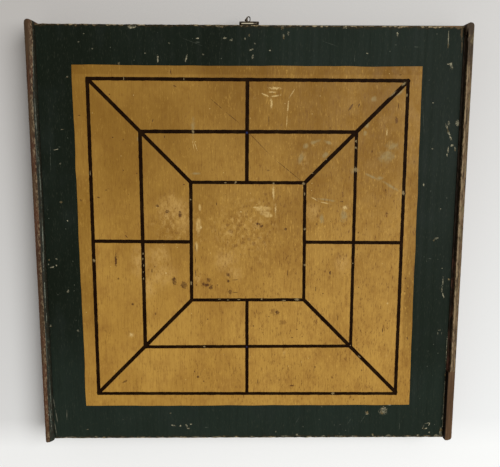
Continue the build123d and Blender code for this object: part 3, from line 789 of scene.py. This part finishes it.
inside = panel.z.ramp(board_back + 0.2, board_back + 0.05)
colour = colour.coat(inside, bare)
paint_left = panel.maths("SUBTRACT", 1.0, chipped.most(arris), clamp=True)
panel.done(
    colour, paint_left.ramp(0, 1, 0.8, 0.48), green_height * 0.25 + paint_left, 0.15, specular=0.04
)
paint(board, panel)
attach(board, "lid")
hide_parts("mill_panel")

# Field: a coat of ochre oil paint laid over the green, ruled and cut in by hand, so its sides waver
# a little. It is painted darker toward the top and along the side margins, partly the paint's own
# tone and partly painted shade, and years of play have worn, stained and scratched it.
paint_face = board_face + 0.15
field = block("ochre_field", (-153.6, -157, board_face), (149, 153, paint_face))
edit()
corners = {
    (False, True): (-153.7, 152.9),
    (True, True): (148.6, 152.2),
    (True, False): (150.1, -156.7),
    (False, False): (-152.9, -156.8),
}
form = bmesh.from_edit_mesh(field.data)
for point in form.verts:
    x, y = corners[(point.co.x > 0, point.co.y > 0)]
    point.co.x = x * mm
    point.co.y = y * mm
bmesh.update_edit_mesh(field.data)
cut_finer(field, 0, 3.0)
cut_finer(field, 1, 3.0)
edit(False)
brim = field.vertex_groups.new(name="brim")
for point in field.data.vertices:
    x, y = point.co.x / mm, point.co.y / mm
    if x < -152.5 or x > 148 or y > 152 or y < -156:
        brim.add([point.index], 1.0, "REPLACE")
wear(field, "waver x", 1.3, 30, direction="X", group="brim", mid=0.5)
wear(field, "waver y", 1.3, 30, direction="Y", group="brim", mid=0.5)

ochre = Finish("ochre paint")
streaks = ochre.noise((0.7, 30, 10), rough=0.6)
wide_streaks = ochre.noise((3.5, 90, 10), detail=2, shift=(2, 0, 0))
mottle = ochre.noise((9, 13, 9), detail=5, rough=0.62, shift=(3, 1, 0))
clouds = ochre.noise((46, 60, 40), shift=(0.4, 0.3, 0))
colour = ochre.mix(clouds.ramp(0.36, 0.66), (166, 123, 50), (181, 138, 61))
# Painted shade with the paint's own tone: the ochre is darkened toward the top, along the top margin
# and along the upper parts of the side margins.
painted_shade_and_tone = ochre.y.ramp(-110, 150, 0, 0.68)
left_margin_dark = ochre.x.ramp(-139, -143, 0, 0.62) * ochre.y.ramp(-120, -40)
right_margin_dark = ochre.x.ramp(139, 143, 0, 0.6) * ochre.y.ramp(-150, -60)
painted_shade_and_tone = painted_shade_and_tone.most(left_margin_dark.most(right_margin_dark)).most(ochre.y.ramp(142, 146, 0, 0.85))
painted_shade_and_tone *= clouds.ramp(0.3, 0.7, 1.15, 0.85)
colour = colour.coat(mottle.ramp(0.44, 0.76, 0, 0.55), (142, 97, 38))
colour = colour.coat(mottle.ramp(0.46, 0.28, 0, 0.45), (186, 143, 64))
colour = colour.coat(streaks.ramp(0.48, 0.72, 0, 0.5), (138, 96, 36))
colour = colour.coat(wide_streaks.ramp(0.52, 0.74, 0, 0.25), (188, 143, 62))
colour = colour.coat(painted_shade_and_tone, (116, 79, 14))
played = [
    (-5, 10, 92, 78), (-70, 15, 50, 60), (12, 27, 40, 26), (85, 28.7, 10, 11),
    (-108.7, -88.3, 8, 10), (-101.2, -18.3, 5, 16), (-76, -30, 3, 2.4), (-77, -10, 8, 6),
    (-40, -77, 4, 4), (47, 72, 14, 26), (55, 85, 18, 8), (68, 82, 10, 8), (127.5, -108, 6, 5),
    (126.2, -58.3, 3, 3), (32, -100, 6, 44), (118, 100, 4, 20), (1.3, 134.5, 8, 4),
    (4, 126, 8, 4, 30), (-46, 8, 10, 40), (-47, -32, 8, 26),
]
rubbed = ochre.marks(played, edge=0.0, ragged=0.6, grain=9)
flecks = ochre.noise((2.4, 3.4, 3), detail=5, rough=0.7, shift=(6, 6, 0))
handled = ochre.noise((3.4, 5, 4), detail=5, rough=0.75, shift=(2, 5, 1))
worked = rubbed * 0.75
grubby = rubbed * handled.ramp(0.46, 0.36, 0, 0.65)
colour = colour.coat(grubby, (116, 76, 26))
rubbed *= handled.ramp(0.48, 0.62, 0, 0.55)
rubbed *= flecks.ramp(0.36, 0.58, 0.3, 1.0)
colour = colour.coat(rubbed, (208, 170, 100))
worn_thin = [
    (-68, 30, 42, 32), (-60, 18, 24, 32), (-82, -14, 30, 28), (-99, -18, 24, 44),
    (-80, -32, 38, 34, 25), (-22, -18, 32, 26), (-14, -30, 22, 20), (56, 26, 20, 24),
    (84, -22, 20, 30), (-92, -44, 20, 28),
]
thinned = ochre.marks(worn_thin, edge=0.1, ragged=0.35, grain=7)
thinned *= flecks.ramp(0.36, 0.58, 0.15, 0.6)
colour = colour.coat(thinned, (194, 154, 86))
smears = [
    (121, 75, 20, 15), (125, 84, 15, 11), (129.5, 130.5, 19, 4.5, 38), (102.2, 102.5, 6, 7),
    (100.8, 95.6, 4, 6), (107.7, 124.8, 7, 6), (93, 63, 9, 9), (108, 57.5, 20, 3, -24),
    (125, 49, 24, 3.4, -30), (115, 56, 8, 4), (45, 74, 6, 14, -14), (49, 84, 6, 8, -40),
    (57, 87.8, 13, 4, 16), (68.4, 87.4, 10, 4, -20), (66, 76, 9, 6, 42), (-50, 100, 5, 22),
    (67, 37, 24, 3, -8), (-97, 90, 7, 5), (84, 22, 8, 14), (64, 20, 6, 12), (-48, 60, 10, 3),
]
polished = [
    (12.5, 29, 17, 6.5), (13, 25, 12, 6), (16, 22.5, 10, 4), (-46, 14, 6, 18), (-48, -6, 4, 16),
    (-44.6, 30, 3, 8),
]
polish = ochre.marks(polished, edge=0.35, ragged=0.6, grain=5) * flecks.ramp(0.34, 0.6, 0.3, 0.8)
colour = colour.coat(polish, (206, 172, 106))
smeared = ochre.marks(smears, edge=0.1, ragged=0.6, grain=4) * flecks.ramp(0.34, 0.56, 0.65, 0.95)
colour = colour.coat(smeared, (150, 127, 80))
bright_scratches = [
    (21.5, 133.7, 13, 3), (19, 130.5, 11, 1.8), scratch(9.5, 129.5, 17, 126.5, 2.2),
    scratch(17, 126.5, 28, 128.3, 2.0), (18.5, 121, 2.6, 12), scratch(39, 133.7, 33.5, 125, 1.3),
    scratch(33.5, 125, 32.4, 112, 1.5), scratch(32.4, 112, 31.7, 100, 1.0), (20.8, 43, 2.6, 15),
    (5, 30, 7, 1.2), (22.8, 28, 1.8, 14), scratch(53, 40, 62, 35, 1.2),
    scratch(62, 35, 72, 33, 1.2), scratch(-50, 90, -46, 79, 0.8), scratch(-51, 90, -49, 80, 0.7),
    (85, 30, 6, 5), (-109, -88, 4, 5), (47.5, 51.2, 3, 2), (-76, -30, 2.2, 1.8),
    (126.2, -58.3, 2.2, 2), (-8, 26, 2, 2), (-44, 12, 2.4, 4), (120, 96, 1.4, 8),
]
scratched = ochre.marks(bright_scratches, edge=0.2, ragged=1.0, grain=1.3)
colour = colour.coat(scratched * 0.7, (216, 186, 124))
brown_stains = [
    (-73.7, 26.2, 5, 4), (-62.3, 23.7, 3, 7), (-82.8, 31.2, 4, 2.4), (-68.7, -37.5, 5, 9, 10),
    (-60, -41, 6.4, 8.5, 15), (-39.4, -41, 6.4, 3.6), (-37.1, -36.3, 4, 4.6),
    (-35.6, -43, 4.4, 4.4), (-42.4, -40, 3, 3), (-19.9, -31.7, 3.4, 3.8), (-19.9, -37.3, 3, 3),
    (-18.1, -47.6, 4.2, 4.4), (25.2, -66.9, 4.6, 4.8), (73, -30, 2.2, 4.6), (128, 107, 2.8, 8),
    (87.8, 117.8, 2, 8, -35), (95, 119.5, 1.4, 5, -20), (-116.2, -133, 5.4, 2.2, 28),
    (-48.3, -128.7, 3, 3), (7.2, 15.0, 5, 2.4), (10.4, 13.0, 3.4, 2.4), (31.5, 10.5, 1.8, 2.4),
    (15.8, 62.8, 3, 2), (-119, -35, 2.2, 2), (-121, -18, 2.4, 15), (39.2, -137.5, 7, 1.6),
    (-107, -59, 2.4, 2.6), (81.7, 35.3, 3.4, 1.8), (-150.3, 36.2, 2, 3),
]
thumb_marks = [
    (-6.2, -2.3, 5, 4), (-1, 1, 6, 3.4), (3.4, -3, 4, 5), (8, 2.3, 5, 3), (11.8, -1.3, 4, 4),
    (-17.4, 8.4, 5, 4), (-12.6, -5, 5, 4), (14, 42, 4, 3), (-20, 14, 4, 3), (8.5, 14, 9, 5),
    (22, -66, 9, 8), (-40, -41, 10, 6), (30, -76, 8, 6),
]
thumbed = ochre.marks(thumb_marks, edge=0.5, ragged=1.0, grain=1.6)
colour = colour.coat(thumbed * 0.4, (96, 56, 16))
stained = ochre.marks(brown_stains, edge=0.6, ragged=0.8, grain=1.5)
stained *= flecks.ramp(0.62, 0.4, 0.5, 0.95)
colour = colour.coat(stained, (70, 38, 12))
pin_marks = [
    (-122, 128.2, 1.8, 1.6), scratch(-69.2, 150, -68, 144, 1.0), (-65.3, 135.3, 4.2, 1.2, -25),
    (-120.3, 91.5, 1.5, 1.5), (-111.2, 89.5, 1.2, 1.6), (-134.5, 38.7, 4, 1.2, -15),
    (-127.8, 45.3, 2.4, 1.2), (-112, 62.8, 1.3, 1.6), (-148.7, 110.3, 3, 0.9),
    scratch(-112, 5, -109.5, 2, 1.1), (-58.7, 50.3, 1.6, 1.6), (107.5, 79.5, 1.3, 3),
    (129.2, 118.7, 1, 7), (120.8, 45.3, 1.2, 3), (122.5, 24.5, 2.6, 1.1), (32.5, 10.3, 1.4, 3),
    (145, 70.3, 1, 4), (130, 145.3, 3, 1, 20), (97.5, 7, 1.6, 2), (112, 31.2, 2, 1.1),
    (16.3, 106.5, 0.9, 11), (17.5, -70.8, 1.6, 1.4), (3.3, -79.7, 1.5, 1.8), (43.3, -83, 2.2, 1.1),
    (39.2, -90.8, 1.6, 1.4), (48.3, -90, 1, 1.2), (60.8, -119.3, 1.5, 2), (122.5, -84.2, 1.5, 4.4),
    (104.2, -122.5, 1.5, 1.3), (7.5, -133.3, 0.9, 6), (107.5, -150, 2.2, 1),
    (97.5, -151.7, 1.6, 1.2), (60, -45, 1, 6), (66.7, -49, 1.6, 1.2), (99.2, -43.3, 1.2, 1.8),
    (141.7, -47.5, 1.1, 2), (144.2, -44, 1.1, 2), (141.7, -35, 1.3, 2.2),
    (145.8, -91.7, 2, 3.4, 20), (80.8, -72.5, 0.9, 6), (34.2, -30, 0.9, 8),
    (-42.8, -133, 1.7, 1.6), (-51.2, -123.3, 1.4, 2.4), (-38.7, -73.3, 1.8, 1.6),
    (-29.5, -41, 1.6, 1.2), scratch(-17, -47.8, -10, -48.2, 0.8),
    scratch(-17, -36.5, -10, -36, 0.7), (-86.2, -68, 1, 3.4), (-88.7, -28, 1.2, 6),
    (-86, -24, 1.4, 1.4), (-92, -27, 1.2, 1.2), (-49.2, -6, 0.8, 9), (-49.3, -18, 0.8, 8),
    (-49.2, -30, 0.8, 9), (-48.8, -41, 1.2, 2), scratch(-36, 126, -22, 114, 0.6),
    scratch(-22, 114, -9, 103.5, 0.7), scratch(-9, 103.5, 20, 74, 0.6),
    scratch(20, 74, 48, 51.5, 0.7), (-85, 106, 0.9, 4, -20), (-100, 60, 1, 2), (-30, 33, 1, 4),
    (60, 15, 1, 3), (-75, 92, 1, 3), (70, 100, 0.9, 3), (-140, -112, 1, 4),
]
pricked = ochre.marks(pin_marks, edge=0.4, ragged=0.55, grain=1.0)
colour = colour.coat(pricked * 0.9, (70, 38, 12))
grained = ochre.noise((1.0, 4.6, 2), rough=0.7, shift=(9, 4, 2))
patchy = ochre.noise((16, 22, 10), shift=(7, 1, 3))
dark_grain = grained.ramp(0.54, 0.68) * patchy.ramp(0.36, 0.6, 0.22, 0.7)
busy = ochre.x.ramp(-110, 40, 0.75, 1.4) * ochre.y.ramp(10, 110, 1.0, 0.68)
colour = colour.coat(dark_grain * busy, (114, 74, 26))
light_grain = grained.ramp(0.45, 0.32) * patchy.ramp(0.62, 0.4, 0.12, 0.5)
colour = colour.coat(light_grain * busy, (196, 152, 70))
dotted = ochre.specks((2.6, 3.2, 3), 0.35, 0.16, shift=(1, 4, 0)) * worked
colour = colour.coat(dotted, (100, 62, 20))
pores = ochre.specks((4.5, 7, 5), 0.30, 0.11)
colour = colour.coat(pores * 0.5, (84, 52, 22))
pale_pores = ochre.specks((6, 6, 6), 0.16, 0.08, shift=(3, 3, 3))
colour = colour.coat(pale_pores * 0.6, (226, 196, 130))
dents = pricked * -1.0 + streaks * 0.8
ochre.done(colour, mottle.ramp(0.3, 0.7, 0.42, 0.62), dents, 0.12, specular=0.15)
paint(field, ochre)
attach(field, "lid")
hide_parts("field_paint")

# Mill lines: three squares, the cross lines and the corner lines of nine men's morris, ruled on
# the ochre with a brush in black oil paint. The ends run a little past the corners.
strokes = []


def stroke(x1, y1, x2, y2, width):
    """One brush stroke between two points on the field, in millimetres."""
    run = math.hypot(x2 - x1, y2 - y1)
    bpy.ops.mesh.primitive_cube_add(
        size=1,
        location=(
            (x1 + x2) / 2 * mm, (y1 + y2) / 2 * mm, (paint_face + 0.065 - 0.003 * len(strokes)) * mm
        ),
        rotation=(0, 0, math.atan2(y2 - y1, x2 - x1)),
        scale=((run + width) * mm, width * mm, 0.16 * mm),
    )
    line = bpy.context.object
    bpy.ops.object.transform_apply(location=False, rotation=False, scale=True)
    edit()
    choose(line, "edges", lambda middle, way: abs(way.z) > 0.1)
    round_over(0.9, 3)
    cut_finer(line, 0, 2.0)
    edit(False)
    settle()
    across = "Y" if abs(x2 - x1) > abs(y2 - y1) else "X"
    wear(line, f"brush {len(strokes)}", 0.55, 3.5, direction=across, mid=0.5)
    strokes.append(line)


ruled = [
    (-140.2, 141.5, 137.0, 140.3, 3.1), (137.0, 140.3, 136.7, -145.5, 3.1),
    (136.7, -145.5, -140.8, -144.7, 2.9), (-140.8, -144.7, -140.6, 141.5, 3.2),
    (-96.5, 96.6, 93.0, 96.4, 3.3), (93.4, 96.4, 93.4, -99.0, 2.9),
    (93.4, -99.0, -96.6, -99.5, 3.0), (-96.3, -99.5, -96.3, 96.6, 3.3),
    (-52.6, 52.3, 48.7, 51.9, 3.0), (48.7, 51.9, 49.3, -54.9, 2.9),
    (49.3, -54.9, -53.1, -55.0, 3.0), (-53.1, -55.0, -52.5, 52.3, 3.1),
    (-2.4, 141.0, -2.9, 52.5, 3.3), (-2.6, -55.0, -2.6, -144.5, 3.0),
    (-140.4, -0.6, -53.0, -1.3, 3.2), (49.0, -1.5, 136.6, -2.0, 3.1),
    (-140.2, 141.0, -52.8, 52.6, 3.3), (136.9, 140.2, 48.9, 52.2, 3.5),
    (-140.8, -144.0, -53.2, -55.2, 3.4), (136.8, -144.2, 49.3, -54.8, 3.4),
]
for start_and_end in ruled:
    stroke(*start_and_end)
pick(*strokes)
bpy.ops.object.join()
mill = bpy.context.object
mill.name = "mill_strokes"
mill.data.name = "mill_strokes"

black = Finish("black paint")
brushed = black.noise(1.2, detail=4, rough=0.6)
tired = black.noise((10, 14, 10), detail=4, rough=0.6, shift=(5, 2, 0))
line_black = black.mix(tired.ramp(0.42, 0.7), (23, 10, 3), (36, 22, 8))
line_black = line_black.coat(brushed.ramp(0.62, 0.8, 0, 0.35), (84, 58, 24))
gaps = [
    (-109.2, 141.5, 0.9, 3.6), (-57.3, 141.5, 0.7, 3), (-50, 96.5, 2.4, 4),
    (-12.8, 52.3, 1.8, 3.6, -25), (-22, 52, 2.4, 1.2), (47.5, 51.2, 3.4, 2.6),
    (20.8, 51.2, 2, 2.4), (48.7, 42, 1.6, 3.4), (49.2, 10.3, 2.6, 2.4), (49.7, -22.5, 2.6, 2.2),
    (133.3, 137.8, 6, 2.4, 42), (124, 129, 9, 1.6, 42), (93, 88.5, 2.4, 2.4), (93, 82.8, 2.4, 2.6),
    (93.3, 63.7, 4.4, 5, 30), (66.7, 72.8, 2.4, 2), (55, 60.3, 2.4, 1), (136.5, 43, 3.4, 5.6, 30),
    (136.3, 128, 1.6, 3), (-53.3, -39.2, 2, 4.6), (-140.7, -18.3, 3, 3), (-96.3, -12, 1.4, 2.4),
    (-96.6, -17, 1.2, 3), (-95.9, -23, 1.4, 3), (-96.4, -29, 1.2, 2), (-96.4, -35, 1.2, 2.4),
    (-42, -99.3, 2.4, 2), (31, -55.6, 5, 1.4), (43, -54.5, 5, 3), (10.8, -54.2, 2, 2),
    (78, -145.3, 3.6, 3), (101.7, -109.2, 5, 1, -45), (93.3, -98.4, 1.4, 1.4), (-10, -54.6, 3, 1),
    (-20, -55, 2.4, 1), (-28, -54.2, 3, 0.9), (93.3, -20.8, 1.2, 1.4), (-52.8, 37, 2.4, 1.4),
    (-141, 60, 0.8, 5),
]
gone = black.marks(gaps, edge=0.4, ragged=1.1, grain=0.8)
line_black = line_black.coat(gone * 0.7, (150, 130, 92))
blue_dots = black.marks([(-2.8, 95.7, 2.6, 2.8), (-2.8, -99.6, 2.2, 2.2)], edge=0.3, ragged=0.4)
line_black = line_black.coat(blue_dots * 0.8, (38, 48, 92))
black.done(line_black, brushed.ramp(0.3, 0.7, 0.45, 0.65), brushed, 0.06, specular=0.02)
paint(mill, black)
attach(mill, "lid")
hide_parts("mill_lines")

# Hinges, nails and screws: two butt hinges and the hasp's fixed leaf of brass gone brown, let in
# flush and held by iron screws, and the iron nails that hold the rails to the walls.
brass = Finish("aged brass")
tarnish = brass.noise(2.6, detail=5, rough=0.62)
film = brass.noise(9, shift=(2, 2, 2))
colour = brass.mix(tarnish.ramp(0.4, 0.62), (28, 21, 11), (78, 62, 38))
colour = colour.coat(film.ramp(0.5, 0.7, 0, 0.6), (38, 30, 20))
brass.done(colour, tarnish.ramp(0.3, 0.7, 0.55, 0.35), tarnish, 0.08, metal=0.5)

iron = Finish("rusty iron")
crust = iron.noise(1.1, detail=5, rough=0.66)
colour = iron.mix(crust.ramp(0.42, 0.62), (46, 34, 28), (104, 64, 40))
iron.done(colour, crust.ramp(0.3, 0.7, 0.6, 0.85), crust, 0.15, metal=0.35)

brass_nodes = ["hasp_leaf", "hasp_pin", "staple_pins"]
for side in ("left", "right"):
    brass_nodes += [f"{side}_hinge_{part}" for part in ("base_leaf", "lid_leaf", "pin")]
for node in brass_nodes:
    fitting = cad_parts[node]
    paint(fitting, brass)
iron_nodes = [
    f"{tray}_{kind}" for tray in ("lid", "base") for kind in ("rail_nails", "hinge_screws")
]
for node in iron_nodes + ["hasp_screws"]:
    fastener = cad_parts[node]
    paint(fastener, iron)

# Hasp: a thin brass strap that hangs on the leaf's pin and drops over the swivel staple, which
# stands through its slot. The knuckle is rolled round the pin and soldered to a short tongue.
strap = block("hasp_strap_plate", (-9.5, 188.3, 17.6), (7.5, 189.45, 30.5))
edit()
choose(strap, "edges", runs_along(1))
round_over(1.8, 5)
choose(strap, "faces", lambda middle, way: abs(way.y) > 0.9)
bpy.ops.mesh.region_to_loop()
round_over(0.4, 3)
edit(False)
eye_slot = block("eye slot", (-5.7, 187, 23.1), (0.7, 191, 27.0))
cut_away(strap, eye_slot)
bpy.ops.mesh.primitive_cylinder_add(
    vertices=32,
    radius=1.7 * mm,
    depth=8 * mm,
    location=(-1 * mm, 189.15 * mm, 15.6 * mm),
    rotation=(0, math.radians(90), 0),
)
knuckle = bpy.context.object
edit()
choose(knuckle, "faces", lambda middle, way: abs(way.z) > 0.9)
bpy.ops.mesh.inset(thickness=0.35 * mm, depth=0.15 * mm)
edit(False)
settle()
tongue = block("tongue", (-5, 188.3, 15.8), (3, 189.4, 18.2))
pick(strap, knuckle, tongue)
bpy.ops.object.join()
smooth(35)
paint(strap, brass)
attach(strap, "hasp")
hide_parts("hasp_strap")

# Swivel staple: a filed brass eye, thicker on its left, on a round shank that is riveted over
# behind the back plate. It turns a quarter turn to lock the strap.
eye_x, eye_y, eye_z = -1.4, 192.35, 24.2
eye_left, shank_x = -2.1, -2.5
bpy.ops.mesh.primitive_torus_add(
    major_segments=48,
    minor_segments=14,
    major_radius=1.2 * mm,
    minor_radius=0.5 * mm,
    location=(eye_x * mm, eye_y * mm, eye_z * mm),
)
eye = bpy.context.object
eye.name = "swivel_eye"
eye.data.name = "swivel_eye"
settle()
edit()
choose(eye, "verts", lambda spot: spot.y > eye_y)
move(0, 0.85, 0)
choose(eye, "verts", lambda spot: spot.y < eye_y)
move(0, -0.85, 0)
for height in (194.4, 193.6, 192.9, 191.6, 190.4):
    choose(eye, "verts", lambda spot: spot.x < eye_left - 0.02 and spot.y < height)
    bpy.ops.transform.resize(value=(1.3, 1, 1), center_override=(eye_left * mm, 0, 0))
bpy.ops.mesh.select_all(action="SELECT")
bpy.ops.transform.resize(value=(1, 1, 1.7), center_override=(0, 0, eye_z * mm))
edit(False)
bpy.ops.mesh.primitive_cylinder_add(
    vertices=24,
    radius=0.7 * mm,
    depth=3.3 * mm,
    location=(shank_x * mm, 188.35 * mm, eye_z * mm),
    rotation=(math.radians(90), 0, 0),
)
shank = bpy.context.object
settle()
edit()
choose(shank, "faces", lambda middle, way: way.y < -0.9)
bpy.ops.mesh.extrude_region_move(TRANSFORM_OT_translate={"value": (0, 0, 0)})
rivet_middle = (shank_x * mm, 186.7 * mm, eye_z * mm)
bpy.ops.transform.resize(value=(2.2, 1, 2.2), center_override=rivet_middle)
bpy.ops.mesh.extrude_region_move(TRANSFORM_OT_translate={"value": (0, 0.55 * mm, 0)})
edit(False)
pick(eye, shank)
bpy.ops.object.join()
wear(eye, "filed eye", 0.25, 1.6, mid=0.8)
smooth(45)
paint(eye, brass)
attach(eye, "staple")
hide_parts("swivel_staple")

# Staple's back plate: thin brass pinned to the lid's wall behind the strap. Its top arris is rubbed
# bright by the strap's end, and its near-white colour there is also a painted highlight.
worn_brass = Finish("aged brass, worn arris")
tarnish = worn_brass.noise(2.2, detail=5, rough=0.65, shift=(1, 2, 3))
colour = worn_brass.mix(tarnish.ramp(0.4, 0.62), (34, 26, 14), (80, 64, 42))
# Painted highlight with real wear: the top arris is painted near white.
bright = worn_brass.z.ramp(29.5, 29.9) * worn_brass.x.ramp(3.4, 1.6)
colour = colour.coat(bright * 0.95, (196, 186, 160))
worn_brass.done(colour, tarnish.ramp(0.3, 0.7, 0.6, 0.4), tarnish, 0.08, metal=0.2)
plate = block("staple_back_plate", (-8, 187.35, 19.9), (6, 188.15, 30.4))
edit()
choose(plate, "edges", runs_along(1))
round_over(1.0, 4)
choose(plate, "faces", lambda middle, way: way.y > 0.9)
bpy.ops.mesh.region_to_loop()
round_over(0.2, 2)
edit(False)
smooth(35)
paint(plate, worn_brass)
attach(plate, "lid")
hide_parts("staple_plate")


# Men: nine of pale boxwood and nine stained dark, turned on a lathe with a ring in the top and
# kept in two squares of three by three on the base tray's floor.
def man(name):
    """One turned man at the origin: rounded edges and a sunk ring round the top."""
    bpy.ops.mesh.primitive_cylinder_add(
        vertices=64, radius=11 * mm, depth=6 * mm, location=(0, 0, 12.5 * mm), end_fill_type="NGON"
    )
    disc = bpy.context.object
    disc.name = name
    settle()
    edit()
    choose(disc, "edges", lambda middle, run: abs(run.z) < 0.1)
    round_over(0.8, 4)
    choose(disc, "faces", lambda middle, way: way.z > 0.99 and middle.z > 15)
    for inward, up in ((3.2, 0.15), (0.3, -0.6), (0.8, 0), (0.3, 0.45), (3.0, -0.2), (1.8, -0.05)):
        bpy.ops.mesh.inset(thickness=inward * mm, depth=up * mm)
    edit(False)
    smooth(30)
    return disc


def men_finish(name, deep, pale, wear_tone):
    finish = Finish(name)
    grain = finish.noise((0.8, 14, 0.8), bend=0.3)
    tone = finish.noise(24, detail=2, shift=(3, 3, 0))
    handled = finish.noise((4, 4, 2), detail=5, rough=0.6)
    colour = finish.mix(grain.ramp(0.36, 0.66), deep, pale)
    colour = colour.coat(tone.ramp(0.4, 0.65, 0, 0.5), wear_tone)
    colour = colour.coat(handled.ramp(0.56, 0.76, 0, 0.5), deep)
    finish.done(colour, handled.ramp(0.3, 0.7, 0.32, 0.5), grain, 0.06)
    return finish


box_wood = men_finish("light wood", (178, 136, 82), (216, 178, 122), (196, 152, 92))
dark_stain = men_finish("dark wood", (48, 28, 18), (86, 52, 32), (66, 38, 24))
square_x, square_y, spacing = 144.3, -141.4, 23.5
for name, side, wood, slot in (
    ("light_men", -1, box_wood, "light_wood"),
    ("dark_men", 1, dark_stain, "dark_wood"),
):
    copies = [man(name + "_turned")]
    while len(copies) < 9:
        spare = copies[0].copy()
        spare.data = copies[0].data.copy()
        bpy.context.scene.collection.objects.link(spare)
        copies.append(spare)
    for number, disc in enumerate(copies):
        row, column = number // 3 - 1, number % 3 - 1
        pick(disc)
        disc.location = (
            (side * square_x + column * spacing) * mm, (square_y + row * spacing) * mm, 0
        )
        settle()
    pick(*copies)
    bpy.ops.object.join()
    men = bpy.context.object
    paint(men, wood)
    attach(men, "base")
    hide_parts(name)
